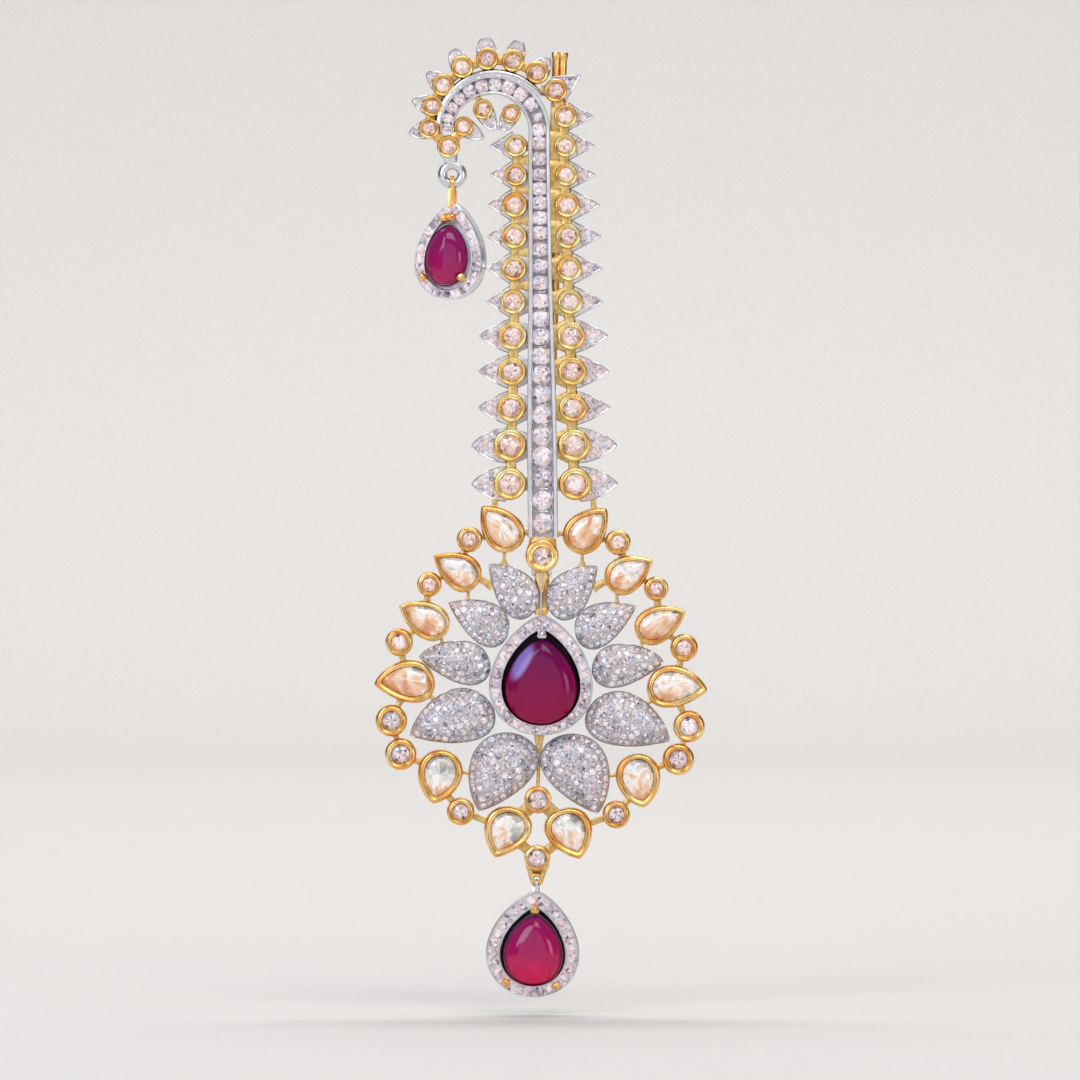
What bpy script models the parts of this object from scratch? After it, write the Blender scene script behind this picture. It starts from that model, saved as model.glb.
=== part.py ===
"""Kalgi: a jewelled ornament worn upright on the front of a turban.

A flower of pavé petals round a pear ruby carries a tall stem that ends in a crook. Two ruby drops hang free.
Sizes are in millimetres. Drawings lie in a plane with X to the right, Y up and Z towards the viewer, and an empty
named jewel_front stands that plane upright in metres, with +Z up and the front facing -Y. The origin is the middle
of the flower's back, where the jewel sits against the turban.
"""

import math

import bmesh
import bpy
from mathutils import Matrix, Vector

MM = 0.001
CLEAR = 0.12  # between pieces that are set or soldered against each other

# The stem is a channel of round stones between two rails. It leans a little and ends in a half circle.
STEM_FOOT = (0.28, 19.9)
STEM_SHOULDER = (-0.3, 76.8)
STEM_WIDTHS = (
    # height, half width
    (19.9, 2.1),
    (32.0, 2.1),
    (42.0, 1.95),
    (56.0, 1.66),
    (76.8, 1.5),
)
CROOK_CENTRE = (-6.75, 76.8)
CROOK_RADIUS = 6.52
CROOK_END_TURN = 179.0
CROOK_END_HALF_WIDTH = 0.85
CROOK_STEPS = 12
RAIL_WALL = 0.58
RAIL_TOP = 2.6
CHANNEL_FLOOR = 1.4
STONE_TABLE = 2.4
STONE_PITCH = {"foot": 3.12, "shoulder": 2.05}
CROOK_STONES = 10
STONE_SIDES = 8

# Leaves stand off both sides of the stem and round the crook. Each is a bezel with a leaf that tapers outwards.
LEAF_ROW_TOP = 82.52
LEAF_FIRST_PITCH = 3.78
LEAF_PITCH_GROWTH = 0.147
LEAF_MIDDLE = {"top": -0.03, "foot": 0.22}
LEAF_OFFSET = {"top": 3.42, "foot": 4.57}
LEAF_GROUPS = (
    # last unit of the group, bezel radius, reach on the right and left, half width two thirds of the way out
    (3, 1.62, 3.85, 3.4, 0.5),
    (7, 1.8, 4.4, 3.58, 0.5),
    (10, 2.02, 5.1, 4.55, 0.56),
    (12, 2.3, 5.9, 5.3, 0.66),
)
FIRST_UNIT = 2
UPPER_RIGHT_LEAVES = (
    # x, y, aim, bezel radius, reach
    (2.05, 82.55, 32.0, 1.66, 4.15),
    (3.44, 78.95, -1.0, 1.64, 3.65),
)
CROOK_LEAVES = (
    # turn round the crook's centre, distance, aim, bezel radius, reach, half width of the blunt tip
    (53.0, 10.35, 50.0, 1.6, 2.75, 0.1),
    (74.0, 10.3, 73.0, 1.6, 2.95, 0.6),
    (94.5, 10.2, 94.5, 1.6, 2.95, 0.75),
    (115.5, 9.98, 118.0, 1.6, 2.85, 0.45),
    (137.0, 9.5, 141.0, 1.58, 2.95, 0.15),
    (157.0, 9.15, 165.0, 1.5, 3.0, 0.15),
    (177.0, 8.9, 195.0, 1.48, 2.95, 0.15),
    (-170.0, 4.15, -31.0, 1.4, 3.3, 0.1),
)
INNER_LEAVES = (
    # the same columns, for the two leaves inside the crook
    (113.7, 3.42, -61.0, 1.42, 3.3, 0.35),
    (44.4, 3.6, -118.0, 1.34, 2.7, 0.3),
)
CROOK_WEB = {"start": 36.0, "end": 172.0, "reach": 8.9, "steps": 9}
BEZEL_SIDES = 10
LEAF_BACK = 0.4
LEAF_EDGE = 1.1
LEAF_RIDGE = 1.8
LEAF_BEZEL_BACK = 0.25
LEAF_RIM = 2.3
LINK_WIDTH = 1.5
LINK_HEIGHTS = (0.55, 1.35)

# The flower stands a little turned, clockwise as seen from the front. Its pieces are drawn upright and on the left.
FLOWER_TURN = -1.1
PETALS = (
    # name, round end x y, tip x y, width, sideways bend of the tip, sharpness, height of the dome
    ("a", -0.65, 10.31, -8.64, 13.46, 6.4, 2.77, 0.70, 2.7),
    ("b", -4.55, 6.95, -13.57, 8.05, 6.3, 2.57, 0.92, 2.7),
    ("c", -7.37, 3.1, -15.62, -0.58, 6.85, 3.66, 0.54, 2.8),
    ("d", -7.9, -2.4, -14.82, -10.93, 8.75, 4.25, 0.65, 3.0),
    ("e", -4.0, -7.45, -5.32, -18.92, 9.4, 2.95, 0.67, 3.2),
)
PEARS = (
    # name, round end x y, tip x y, width, sideways bend, sharpness
    ("1", -3.6, 18.35, -8.75, 24.2, 5.65, 0.0, 0.65),
    ("2", -8.9, 13.5, -15.55, 16.9, 5.35, 0.3, 0.84),
    ("3", -13.0, 6.95, -20.4, 9.05, 5.3, 1.0, 0.67),
    ("4", -15.1, 0.4, -22.62, -2.8, 6.35, 1.85, 0.61),
    ("5", -13.2, -10.1, -14.75, -17.6, 6.3, 0.0, 0.43),
    ("6", -3.36, -17.9, -5.24, -25.15, 6.65, 0.7, 0.61),
)
ROUNDS = (
    # name, x, y, bezel radius
    ("1", -10.4, 19.5, 1.82),
    ("2", -15.9, 13.1, 1.75),
    ("3", -19.95, 4.9, 1.96),
    ("4", -20.85, -6.1, 2.24),
    ("5", -19.45, -10.75, 2.24),
    ("6", -10.9, -18.65, 1.96),
)
MIDDLE_ROUNDS = (
    # name, x, y, bezel radius
    ("7", -0.12, -16.8, 1.95),
    ("8", -0.05, -24.95, 1.85),
)
GALLERY_BARS = (
    # from x y, to x y, width, bottom and top height, on the left half
    (-4.6, 20.55, -2.36, 20.55, 0.6, 0.3, 1.0),
    (-7.1, 22.6, -6.75, 25.1, 0.9, 0.3, 1.0),
    (-7.0, 20.0, -10.4, 19.5, 0.8, 0.3, 1.0),
    (-5.42, 19.0, -5.4, 16.42, 0.6, 0.3, 1.0),
    (-10.4, 19.5, -11.9, 15.5, 1.1, 0.3, 1.0),
    (-9.5, 14.6, -8.35, 14.9, 0.7, 0.3, 1.0),
    (-10.35, 13.6, -10.4, 11.5, 0.7, 0.3, 1.0),
    (-12.9, 15.0, -15.9, 13.1, 0.8, 0.3, 1.0),
    (-15.9, 13.1, -16.4, 8.9, 1.0, 0.3, 1.0),
    (-14.3, 6.9, -14.15, 5.05, 0.7, 0.3, 1.0),
    (-17.0, 7.2, -19.95, 4.9, 0.8, 0.3, 1.0),
    (-19.95, 4.9, -19.0, 0.6, 0.9, 0.3, 1.0),
    (-16.3, -2.0, -15.1, -2.65, 0.6, 0.3, 1.0),
    (-19.3, -2.6, -20.85, -6.1, 0.8, 0.3, 1.0),
    (-20.85, -6.1, -19.45, -10.75, 0.8, 0.3, 1.0),
    (-19.45, -10.75, -15.3, -12.5, 0.9, 0.3, 1.0),
    (-11.9, -13.0, -10.0, -13.3, 0.6, 0.3, 1.0),
    (-13.5, -15.6, -10.9, -18.65, 0.9, 0.3, 1.0),
    (-10.9, -18.65, -5.6, -20.6, 0.9, 0.0, 0.38),
    (-3.4, -20.2, 0.0, -16.8, 0.8, 0.3, 1.0),
    (-3.3, -22.4, 0.0, -24.95, 0.9, 0.3, 1.0),
)
GALLERY_SPINE = (-0.12, -15.5, -0.12, -7.85, 0.8, 0.0, 0.38)
GALLERY_RIM = 2.6
GALLERY_FLOOR = 1.1
GALLERY_WALL = 0.6
PEAR_SIDES = 14
PETAL_SIDES = 14
PETAL_BACK = 0.5
PETAL_EDGE = 1.3

# The centre is a pear ruby in a closed cup with a raised band round it.
CENTRE_CUP = (0.0, -7.7, 0.0, 9.2, 14.5, 0.0, 0.48)
CENTRE_RUBY = (0.0, -5.95, 0.05, 5.5, 9.7, 0.0, 0.48)
CENTRE_BAND = 1.8
CENTRE_TOP = 4.2
CENTRE_FLOOR = 1.0
CENTRE_PRONGS = ((0.0, 5.75), (-4.3, -4.5), (4.0, -4.5))
CENTRE_SIDES = 20
PRONG_RADIUS = 0.45
FOOT_BEZEL = (-0.19, 17.37, 2.35)

# The plume tube is a pair of thin barrels behind the stem, open at the top and footed on a cross bar.
TUBE_MOUTH = (2.66, 88.05)
TUBE_FOOT = (0.0, 9.7)
TUBE_RADIUS = 0.54
TUBE_BORE = 0.32
TUBE_DEPTH = -0.74
TUBE_LIP = 0.68
TUBE_SIDES = 10

# Each drop hangs by a bail on a fixed eye. The pivot is the middle of the eye's lower wire.
HOOK_EYE = {"x": -12.43, "y": 70.8, "radius": 1.36, "wire": 0.68, "height": 1.2}
LOW_EYE = {"x": -0.62, "y": -27.95, "radius": 0.68, "wire": 0.3, "height": 1.2}
END_BEZEL = (-12.96, 74.68, 1.62)
HOOK_DROP = {
    "cup": (-13.08, 53.3, -12.3, 67.0, 9.85, 0.2, 0.59),
    "ruby": (-13.2, 55.3, -12.55, 63.6, 5.8, 0.0, 0.3),
    "band": 1.6, "yaw": -15.0, "back": -1.55, "thickness": 2.8,
    "prongs": ((-12.35, 64.4), (-15.95, 56.75), (-10.65, 56.7)),
    "bail": {"radius": 1.05, "thickness": 0.36, "width": 0.62, "foot_width": 1.7, "widens": 1.0},
}
LOW_DROP = {
    "cup": (-1.68, -44.4, -0.35, -29.5, 13.15, -0.15, 0.49),
    "ruby": (-1.2, -42.5, -1.0, -32.95, 7.9, 0.15, 0.43),
    "band": 2.05, "yaw": 0.0, "back": -1.59, "thickness": 2.8,
    "prongs": ((-0.88, -32.6), (-4.62, -41.9), (1.88, -42.3)),
    "bail": {"radius": 0.6, "thickness": 0.26, "width": 0.38, "foot_width": 1.3, "widens": 0.45},
}
DROP_SIDES = 18

MATERIALS = {
    # colour, metallic, roughness
    "yellow_gold": ((0.90, 0.58, 0.20), 1.0, 0.22),
    "white_gold": ((0.78, 0.78, 0.80), 1.0, 0.20),
    "diamond": ((0.86, 0.84, 0.90), 0.0, 0.05),
    "polki": ((0.88, 0.80, 0.72), 0.0, 0.12),
    "ruby": ((0.42, 0.01, 0.10), 0.0, 0.06),
}


def clear_scene():
    for obj in list(bpy.data.objects):
        bpy.data.objects.remove(obj, do_unlink=True)


def make_material(name):
    colour, metallic, roughness = MATERIALS[name]
    material = bpy.data.materials.new(name)
    material.use_nodes = True
    shader = material.node_tree.nodes["Principled BSDF"]
    shader.inputs["Base Color"].default_value = (*colour, 1.0)
    shader.inputs["Metallic"].default_value = metallic
    shader.inputs["Roughness"].default_value = roughness
    return material


def make_empty(name, parent=None, place=(0.0, 0.0, 0.0), turn=(0.0, 0.0, 0.0)):
    """An empty that carries pieces. Its place is in millimetres and its turn in degrees."""
    empty = bpy.data.objects.new(name, None)
    empty.location = Vector(place) * MM
    empty.rotation_euler = [math.radians(angle) for angle in turn]
    empty.parent = parent
    collection.objects.link(empty)
    return empty


def keep(name, mesh, material, parent):
    """Puts a finished mesh into the model as a named piece."""
    mesh.name = name
    mesh.materials.clear()
    mesh.materials.append(materials[material])
    mesh.shade_smooth()
    mesh.set_sharp_from_angle(angle=math.radians(30))
    piece = bpy.data.objects.new(name, mesh)
    piece.parent = parent
    collection.objects.link(piece)
    return piece


def evaluated_mesh(obj):
    """The mesh of an object with its modifiers or its curve worked out. The object is removed."""
    collection.objects.link(obj)
    bpy.context.view_layer.update()
    graph = bpy.context.evaluated_depsgraph_get()
    mesh = bpy.data.meshes.new_from_object(obj.evaluated_get(graph))
    bpy.data.objects.remove(obj, do_unlink=True)
    return mesh


def tidy(mesh):
    """Merges doubles and turns every face outwards."""
    bm = bmesh.new()
    bm.from_mesh(mesh)
    bmesh.ops.remove_doubles(bm, verts=bm.verts, dist=1e-7)
    bmesh.ops.recalc_face_normals(bm, faces=bm.faces)
    bm.to_mesh(mesh)
    bm.free()
    return mesh


def moved(mesh, matrix):
    """A copy of a mesh, moved by a matrix that is in millimetres."""
    scale = Matrix.Scale(MM, 4)
    copy = mesh.copy()
    copy.transform(scale @ matrix @ scale.inverted())
    return copy


def turned(profile, sides):
    """A turned solid round the Z axis. The profile is (radius, height) rows from the top down the outer side."""
    mesh = bpy.data.meshes.new("profile")
    points = [(radius * MM, 0.0, height * MM) for radius, height in profile]
    mesh.from_pydata(points, [(i, i + 1) for i in range(len(points) - 1)], [])
    obj = bpy.data.objects.new("profile", mesh)
    screw = obj.modifiers.new("turn", "SCREW")
    screw.steps = screw.render_steps = sides
    screw.use_merge_vertices = True
    screw.merge_threshold = 1e-6
    return tidy(evaluated_mesh(obj))


def loft(rings, closed=False):
    """A solid through rings of points in millimetres, all with the same count. Ends are capped unless it is closed."""
    bm = bmesh.new()
    loops = [[bm.verts.new(Vector(point) * MM) for point in ring] for ring in rings]
    count = len(rings[0])
    pairs = list(zip(loops, loops[1:]))
    if closed:
        pairs.append((loops[-1], loops[0]))
    else:
        bm.faces.new(loops[0])
        bm.faces.new(reversed(loops[-1]))
    for low, high in pairs:
        for i in range(count):
            j = (i + 1) % count
            bm.faces.new((low[j], low[i], high[i], high[j]))
    mesh = bpy.data.meshes.new("loft")
    bm.to_mesh(mesh)
    bm.free()
    return tidy(mesh)


def wire(points, radius, resolution=1):
    """A round wire through points in millimetres, with filled ends."""
    curve = bpy.data.curves.new("wire", "CURVE")
    curve.dimensions = "3D"
    curve.bevel_depth = radius * MM
    curve.bevel_resolution = resolution
    curve.use_fill_caps = True
    spline = curve.splines.new("POLY")
    spline.points.add(len(points) - 1)
    for slot, point in zip(spline.points, points):
        slot.co = (*(Vector(point) * MM), 1.0)
    return tidy(evaluated_mesh(bpy.data.objects.new("wire", curve)))


def torus(radius, wire_radius, segments, wire_segments):
    """A ring in the drawing plane."""
    circle = [
        (
            radius + wire_radius * math.cos(2 * math.pi * k / wire_segments),
            wire_radius * math.sin(2 * math.pi * k / wire_segments),
        )
        for k in range(wire_segments)
    ]
    rings = []
    for step in range(segments):
        angle = 2 * math.pi * step / segments
        rings.append([(r * math.cos(angle), r * math.sin(angle), z) for r, z in circle])
    return loft(rings, closed=True)


def bar(x0, y0, x1, y1, width, low, high):
    """A flat bar in the drawing plane from one point to another, between two heights."""
    bm = bmesh.new()
    bmesh.ops.create_cube(bm, size=1.0)
    length = math.hypot(x1 - x0, y1 - y0)
    size = Matrix.Diagonal((length * MM, width * MM, (high - low) * MM, 1.0))
    turn = Matrix.Rotation(math.atan2(y1 - y0, x1 - x0), 4, "Z")
    middle = Vector(((x0 + x1) / 2, (y0 + y1) / 2, (low + high) / 2)) * MM
    bmesh.ops.transform(bm, matrix=Matrix.Translation(middle) @ turn @ size, verts=bm.verts)
    mesh = bpy.data.meshes.new("bar")
    bm.to_mesh(mesh)
    bm.free()
    return mesh


def joined(meshes):
    """One mesh that holds several, still as separate bodies."""
    bm = bmesh.new()
    for mesh in meshes:
        bm.from_mesh(mesh)
    result = bpy.data.meshes.new("joined")
    bm.to_mesh(result)
    bm.free()
    return result


def boolean(base, other, operation):
    """The union or difference of two meshes."""
    helper = bpy.data.objects.new("helper", other)
    cutters.objects.link(helper)
    helper.hide_render = True
    helper.display_type = "WIRE"
    obj = bpy.data.objects.new("base", base)
    modifier = obj.modifiers.new("cut", "BOOLEAN")
    modifier.operation = operation
    modifier.object = helper
    modifier.solver = "EXACT"
    modifier.use_self = True
    mesh = evaluated_mesh(obj)
    bpy.data.objects.remove(helper, do_unlink=True)
    return mesh


def fused(meshes):
    """Soldered or cast together: one body, with flat faces merged so that it has few triangles."""
    mesh = boolean(meshes[0], joined(meshes[1:]), "UNION")
    bm = bmesh.new()
    bm.from_mesh(mesh)
    bmesh.ops.remove_doubles(bm, verts=bm.verts, dist=2e-6)
    bmesh.ops.dissolve_degenerate(bm, edges=bm.edges, dist=1e-6)
    bmesh.ops.dissolve_limit(bm, angle_limit=math.radians(0.6), verts=bm.verts, edges=bm.edges)
    bmesh.ops.triangulate(bm, faces=bm.faces)
    bm.to_mesh(mesh)
    bm.free()
    return mesh


def between(start, end, share):
    return start + (end - start) * share


def drop_outline(drop, inset, height, sides, side=1.0):
    """Points round a drop shape, from its tip round its round end.

    The half width goes as sin t times a power of sin(t / 2), with t from the tip. The inset moves the edge inwards,
    a little more at the tip than at the round end. The tip bends sideways with the square of the way along.
    """
    base_x, base_y, tip_x, tip_y, width, bend, sharpness = drop
    axis = Vector((tip_x - base_x, tip_y - base_y))
    along = axis.normalized()
    across = Vector((along.y, -along.x))
    base = Vector((base_x, base_y)) + along * (0.8 * inset)
    length = axis.length - 2.0 * inset
    half = width / 2 - inset
    widest = 2 * math.atan(math.sqrt(1 + sharpness))
    peak = math.sin(widest) * math.sin(widest / 2) ** sharpness
    points = []
    for step in range(sides):
        t = 2 * math.pi * step / sides
        share = (1 + math.cos(t)) / 2
        swell = math.sin(t) * abs(math.sin(t / 2)) ** sharpness / peak
        place = base + along * (share * length) + across * (half * swell + bend * share * share)
        points.append((side * place.x, place.y, height))
    return points


def drop_solid(drop, profile, sides, side=1.0):
    """A solid whose outline is a drop. The profile is (inset, height) rows from the back round to the front."""
    return loft([drop_outline(drop, inset, height, sides, side) for inset, height in profile])


def stem_middle(y):
    """The stem's middle line at a height."""
    share = (y - STEM_FOOT[1]) / (STEM_SHOULDER[1] - STEM_FOOT[1])
    return between(STEM_FOOT[0], STEM_SHOULDER[0], share)


def stem_half_width(y):
    """The stem narrows from its foot up to the shoulder."""
    for (low, low_half), (high, high_half) in zip(STEM_WIDTHS, STEM_WIDTHS[1:]):
        if y <= high:
            return between(low_half, high_half, max(0.0, (y - low) / (high - low)))
    return STEM_WIDTHS[-1][1]


def crook_half_width(share):
    """The crook narrows from the shoulder to its end, mostly over its last half."""
    return between(STEM_WIDTHS[-1][1], CROOK_END_HALF_WIDTH, share * share)


def crook_point(turn, distance):
    """A place round the crook's centre, with the turn in degrees from the right."""
    angle = math.radians(turn)
    return CROOK_CENTRE[0] + distance * math.cos(angle), CROOK_CENTRE[1] + distance * math.sin(angle)


def stem_path():
    """(x, y, direction, half width) rows along the middle of the stem and round its crook."""
    rise = math.degrees(math.atan2(STEM_SHOULDER[1] - STEM_FOOT[1], STEM_SHOULDER[0] - STEM_FOOT[0]))
    rows = [(stem_middle(y), y, rise, half) for y, half in STEM_WIDTHS[:-1]]
    for step in range(CROOK_STEPS + 1):
        share = step / CROOK_STEPS
        turn = CROOK_END_TURN * share
        rows.append((*crook_point(turn, CROOK_RADIUS), 90.0 + turn, crook_half_width(share)))
    return rows


def channel_section(x, y, direction, half):
    """The channel's cut shape across the stem: two rails with a floor between them."""
    turn = math.radians(direction - 90.0)
    inner = half - RAIL_WALL
    corners = (
        (-half, 0.0), (-half, RAIL_TOP), (-inner, RAIL_TOP), (-inner, CHANNEL_FLOOR),
        (inner, CHANNEL_FLOOR), (inner, RAIL_TOP), (half, RAIL_TOP), (half, 0.0),
    )
    return [(x + across * math.cos(turn), y + across * math.sin(turn), height) for across, height in corners]


def stone_places():
    """(x, y, turn, half width) rows for the stones of the channel. Their pitch shortens from the foot upwards."""
    places = []
    y = STEM_FOOT[1] + 1.75
    length = STEM_SHOULDER[1] - STEM_FOOT[1]
    while y < STEM_SHOULDER[1] + 0.8:
        places.append((stem_middle(y), y, 0.0, stem_half_width(y)))
        y += between(STONE_PITCH["foot"], STONE_PITCH["shoulder"], min(1.0, (y - STEM_FOOT[1]) / length))
    for step in range(CROOK_STONES):
        turn = between(21.0, 172.0, step / (CROOK_STONES - 1))
        places.append((*crook_point(turn, CROOK_RADIUS), turn, crook_half_width(turn / CROOK_END_TURN)))
    return places


def make_stem_channel():
    rails = loft([channel_section(*row) for row in stem_path()])
    stones = []
    for x, y, turn, half in stone_places():
        radius = half - RAIL_WALL - 0.06
        profile = ((0.0, STONE_TABLE), (0.55 * radius, STONE_TABLE), (radius, CHANNEL_FLOOR - 0.15), (0.0, 0.6))
        place = Matrix.Translation((x, y, 0.0)) @ Matrix.Rotation(math.radians(turn), 4, "Z")
        stones.append(moved(turned(profile, STONE_SIDES), place))
    keep("stem_channel", fused([rails, *stones]), "white_gold", jewel_front)


def bezel(radius, back, rim, sides):
    """A round bezel with its stone: a table, a ring of facets and a rim. The wall leans in a little towards the rim."""
    profile = (
        (0.0, rim - 0.12), (0.36 * radius, rim - 0.12), (0.7 * radius, rim - 0.45),
        (0.88 * radius, rim), (radius, back), (0.0, back),
    )
    return turned(profile, sides)


def leaf(radius, reach, fullness, tip):
    """A leaf that runs from its bezel out along +X, with a ridge along its middle."""
    rings = []
    for share, half, edge, ridge in (
        (0.12, 0.93 * radius, LEAF_EDGE, LEAF_RIDGE),
        (0.64, max(fullness * radius, tip), LEAF_EDGE, LEAF_RIDGE - 0.25),
        (1.0, tip, LEAF_EDGE - 0.2, LEAF_EDGE),
    ):
        x = share * reach
        rings.append([
            (x, -half, LEAF_BACK), (x, -half, edge), (x, 0.0, ridge), (x, half, edge), (x, half, LEAF_BACK),
        ])
    return loft(rings)


def leaf_unit(x, y, aim, radius, reach, fullness=0.56, tip=0.08):
    """A bezel at a place, with its leaf pointing at an angle."""
    place = Matrix.Translation((x, y, 0.0)) @ Matrix.Rotation(math.radians(aim), 4, "Z")
    bezel_mesh = bezel(radius, LEAF_BEZEL_BACK, LEAF_RIM, BEZEL_SIDES)
    return [moved(bezel_mesh, place), moved(leaf(radius, reach, fullness, tip), place)]


def row_units():
    """(middle x, offset from it, y, radius, right reach, left reach, fullness) of the paired leaves, top to foot."""
    units = []
    y = LEAF_ROW_TOP
    for index in range(13):
        group = next(row for last, *row in LEAF_GROUPS if index <= last)
        share = (index - FIRST_UNIT) / 10
        middle = between(LEAF_MIDDLE["top"], LEAF_MIDDLE["foot"], share)
        offset = between(LEAF_OFFSET["top"], LEAF_OFFSET["foot"], share)
        units.append((middle, offset, y, *group))
        y -= LEAF_FIRST_PITCH + LEAF_PITCH_GROWTH * index
    return units[FIRST_UNIT:]


def links_between(places):
    """Flat links from each place to the next."""
    return [bar(*a, *b, LINK_WIDTH, *LINK_HEIGHTS) for a, b in zip(places, places[1:])]


def make_leaf_rows():
    for name, side in (("leaf_row_right", 1.0), ("leaf_row_left", -1.0)):
        meshes = []
        places = []
        if side > 0:
            for x, y, aim, radius, reach in UPPER_RIGHT_LEAVES:
                meshes += leaf_unit(x, y, aim, radius, reach)
                places.append((x, y))
        for middle, offset, y, radius, right_reach, left_reach, fullness in row_units():
            to_rail = offset + side * (middle - stem_middle(y)) - stem_half_width(y) - radius
            x = middle + side * (offset + max(0.0, CLEAR - to_rail))
            aim, reach = (0.0, right_reach) if side > 0 else (180.0, left_reach)
            meshes += leaf_unit(x, y, aim, radius, reach, fullness)
            places.append((x, y))
        meshes += links_between(places)
        keep(name, fused(meshes), "yellow_gold", jewel_front)


def crook_leaf(turn, distance, aim, radius, reach, tip):
    """A leaf unit placed round the crook's centre."""
    return leaf_unit(*crook_point(turn, distance), aim, radius, reach, 0.6, tip)


def make_crook_row():
    web = []
    for step in range(CROOK_WEB["steps"] + 1):
        turn = between(CROOK_WEB["start"], CROOK_WEB["end"], step / CROOK_WEB["steps"])
        low, high = LINK_HEIGHTS
        near = CROOK_RADIUS + crook_half_width(turn / CROOK_END_TURN) + CLEAR
        far = CROOK_WEB["reach"] - 0.9 * (turn / 180.0) ** 3
        corners = ((near, low), (near, high), (far, high), (far, low))
        web.append([(*crook_point(turn, distance), height) for distance, height in corners])
    meshes = [loft(web)]
    for row in CROOK_LEAVES:
        meshes += crook_leaf(*row)
    end_x, end_y, end_radius = END_BEZEL
    end_place = Matrix.Translation((end_x, end_y, 0.0))
    meshes.append(moved(bezel(end_radius, LEAF_BEZEL_BACK, LEAF_RIM, BEZEL_SIDES), end_place))
    for turn, distance, *rest in CROOK_LEAVES[-2:]:
        meshes.append(bar(*crook_point(turn, distance), end_x, end_y, 1.1, *LINK_HEIGHTS))
    eye = HOOK_EYE
    ring = torus(eye["radius"], eye["wire"], 14, 6)
    meshes.append(moved(ring, Matrix.Translation((eye["x"], eye["y"], eye["height"]))))
    top = eye["y"] + eye["radius"]
    meshes.append(bar(eye["x"], top, end_x, end_y - 0.6 * end_radius, 1.9, 0.75, 1.75))
    keep("leaf_row_crook", fused(meshes), "yellow_gold", jewel_front)


def make_inner_row():
    """Two leaves inside the crook whose tips meet, with a web towards the channel."""
    meshes = []
    for row in INNER_LEAVES:
        meshes += crook_leaf(*row)
    turn, distance, aim, radius, reach, tip = INNER_LEAVES[0]
    x, y = crook_point(turn, distance)
    web_x, web_y = crook_point(turn, CROOK_RADIUS - STEM_WIDTHS[-1][1] - 0.05)
    meshes.append(bar(x, y, web_x, web_y, 1.0, *LINK_HEIGHTS))
    tips = []
    for turn, distance, aim, radius, reach, tip in INNER_LEAVES:
        x, y = crook_point(turn, distance)
        angle = math.radians(aim)
        tips += [x + 0.8 * reach * math.cos(angle), y + 0.8 * reach * math.sin(angle)]
    meshes.append(bar(*tips, 0.9, LEAF_BACK, LEAF_EDGE))
    keep("leaf_row_inner", fused(meshes), "yellow_gold", jewel_front)


def make_foot_bezel():
    x, y, radius = FOOT_BEZEL
    mesh = moved(bezel(radius, 0.0, 2.8, 12), Matrix.Translation((x, y, 0.0)))
    keep("foot_bezel", mesh, "yellow_gold", flower_axis)


def make_petals():
    for side_name, side in (("left", 1.0), ("right", -1.0)):
        for name, *drop, dome in PETALS:
            profile = (
                (0.3, PETAL_BACK), (0.0, PETAL_EDGE), (0.75, between(PETAL_EDGE, dome, 0.6)),
                (2.2, dome),
            )
            mesh = drop_solid(drop, profile, PETAL_SIDES, side)
            keep(f"petal_{name}_{side_name}", mesh, "white_gold", flower_axis)


def pear_cup(drop, side):
    profile = (
        (0.0, 0.0), (0.0, GALLERY_RIM - 0.15), (0.38, GALLERY_RIM), (GALLERY_WALL, GALLERY_FLOOR),
    )
    return drop_solid(drop, profile, PEAR_SIDES, side)


def round_cup(radius):
    profile = (
        (0.0, GALLERY_FLOOR), (radius - GALLERY_WALL, GALLERY_FLOOR), (radius - 0.38, GALLERY_RIM),
        (radius, GALLERY_RIM - 0.15), (radius, 0.0), (0.0, 0.0),
    )
    return turned(profile, BEZEL_SIDES)


def make_gallery():
    """The outer ring of bezels with the bars that hold it together and reach to the petals: one soldered piece."""
    meshes = []
    for side in (1.0, -1.0):
        meshes += [pear_cup(drop, side) for name, *drop in PEARS]
        for name, x, y, radius in ROUNDS:
            meshes.append(moved(round_cup(radius), Matrix.Translation((side * x, y, 0.0))))
        for x0, y0, x1, y1, width, low, high in GALLERY_BARS:
            meshes.append(bar(side * x0, y0, side * x1, y1, width, low, high))
    for name, x, y, radius in MIDDLE_ROUNDS:
        meshes.append(moved(round_cup(radius), Matrix.Translation((x, y, 0.0))))
    meshes.append(bar(*GALLERY_SPINE))
    eye = LOW_EYE
    ring = torus(eye["radius"], eye["wire"], 12, 6)
    flower_turn = Matrix.Rotation(math.radians(-FLOWER_TURN), 4, "Z")
    place = flower_turn @ Vector((eye["x"], eye["y"], eye["height"]))
    meshes.append(moved(ring, Matrix.Translation(place)))
    for side in (-1.0, 1.0):
        meshes.append(bar(side * 1.25, -25.6, place.x + side * 0.72, place.y, 0.62, 0.9, 1.5))
    keep("outer_gallery", fused(meshes), "yellow_gold", flower_axis)


def brilliant(radius):
    """A round cut stone in a cup of the gallery: a table, ten facets and a cone below."""
    profile = ((0.0, 2.5), (0.56 * radius, 2.5), (radius, 1.95), (0.0, GALLERY_FLOOR + 0.1))
    return turned(profile, BEZEL_SIDES)


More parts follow.
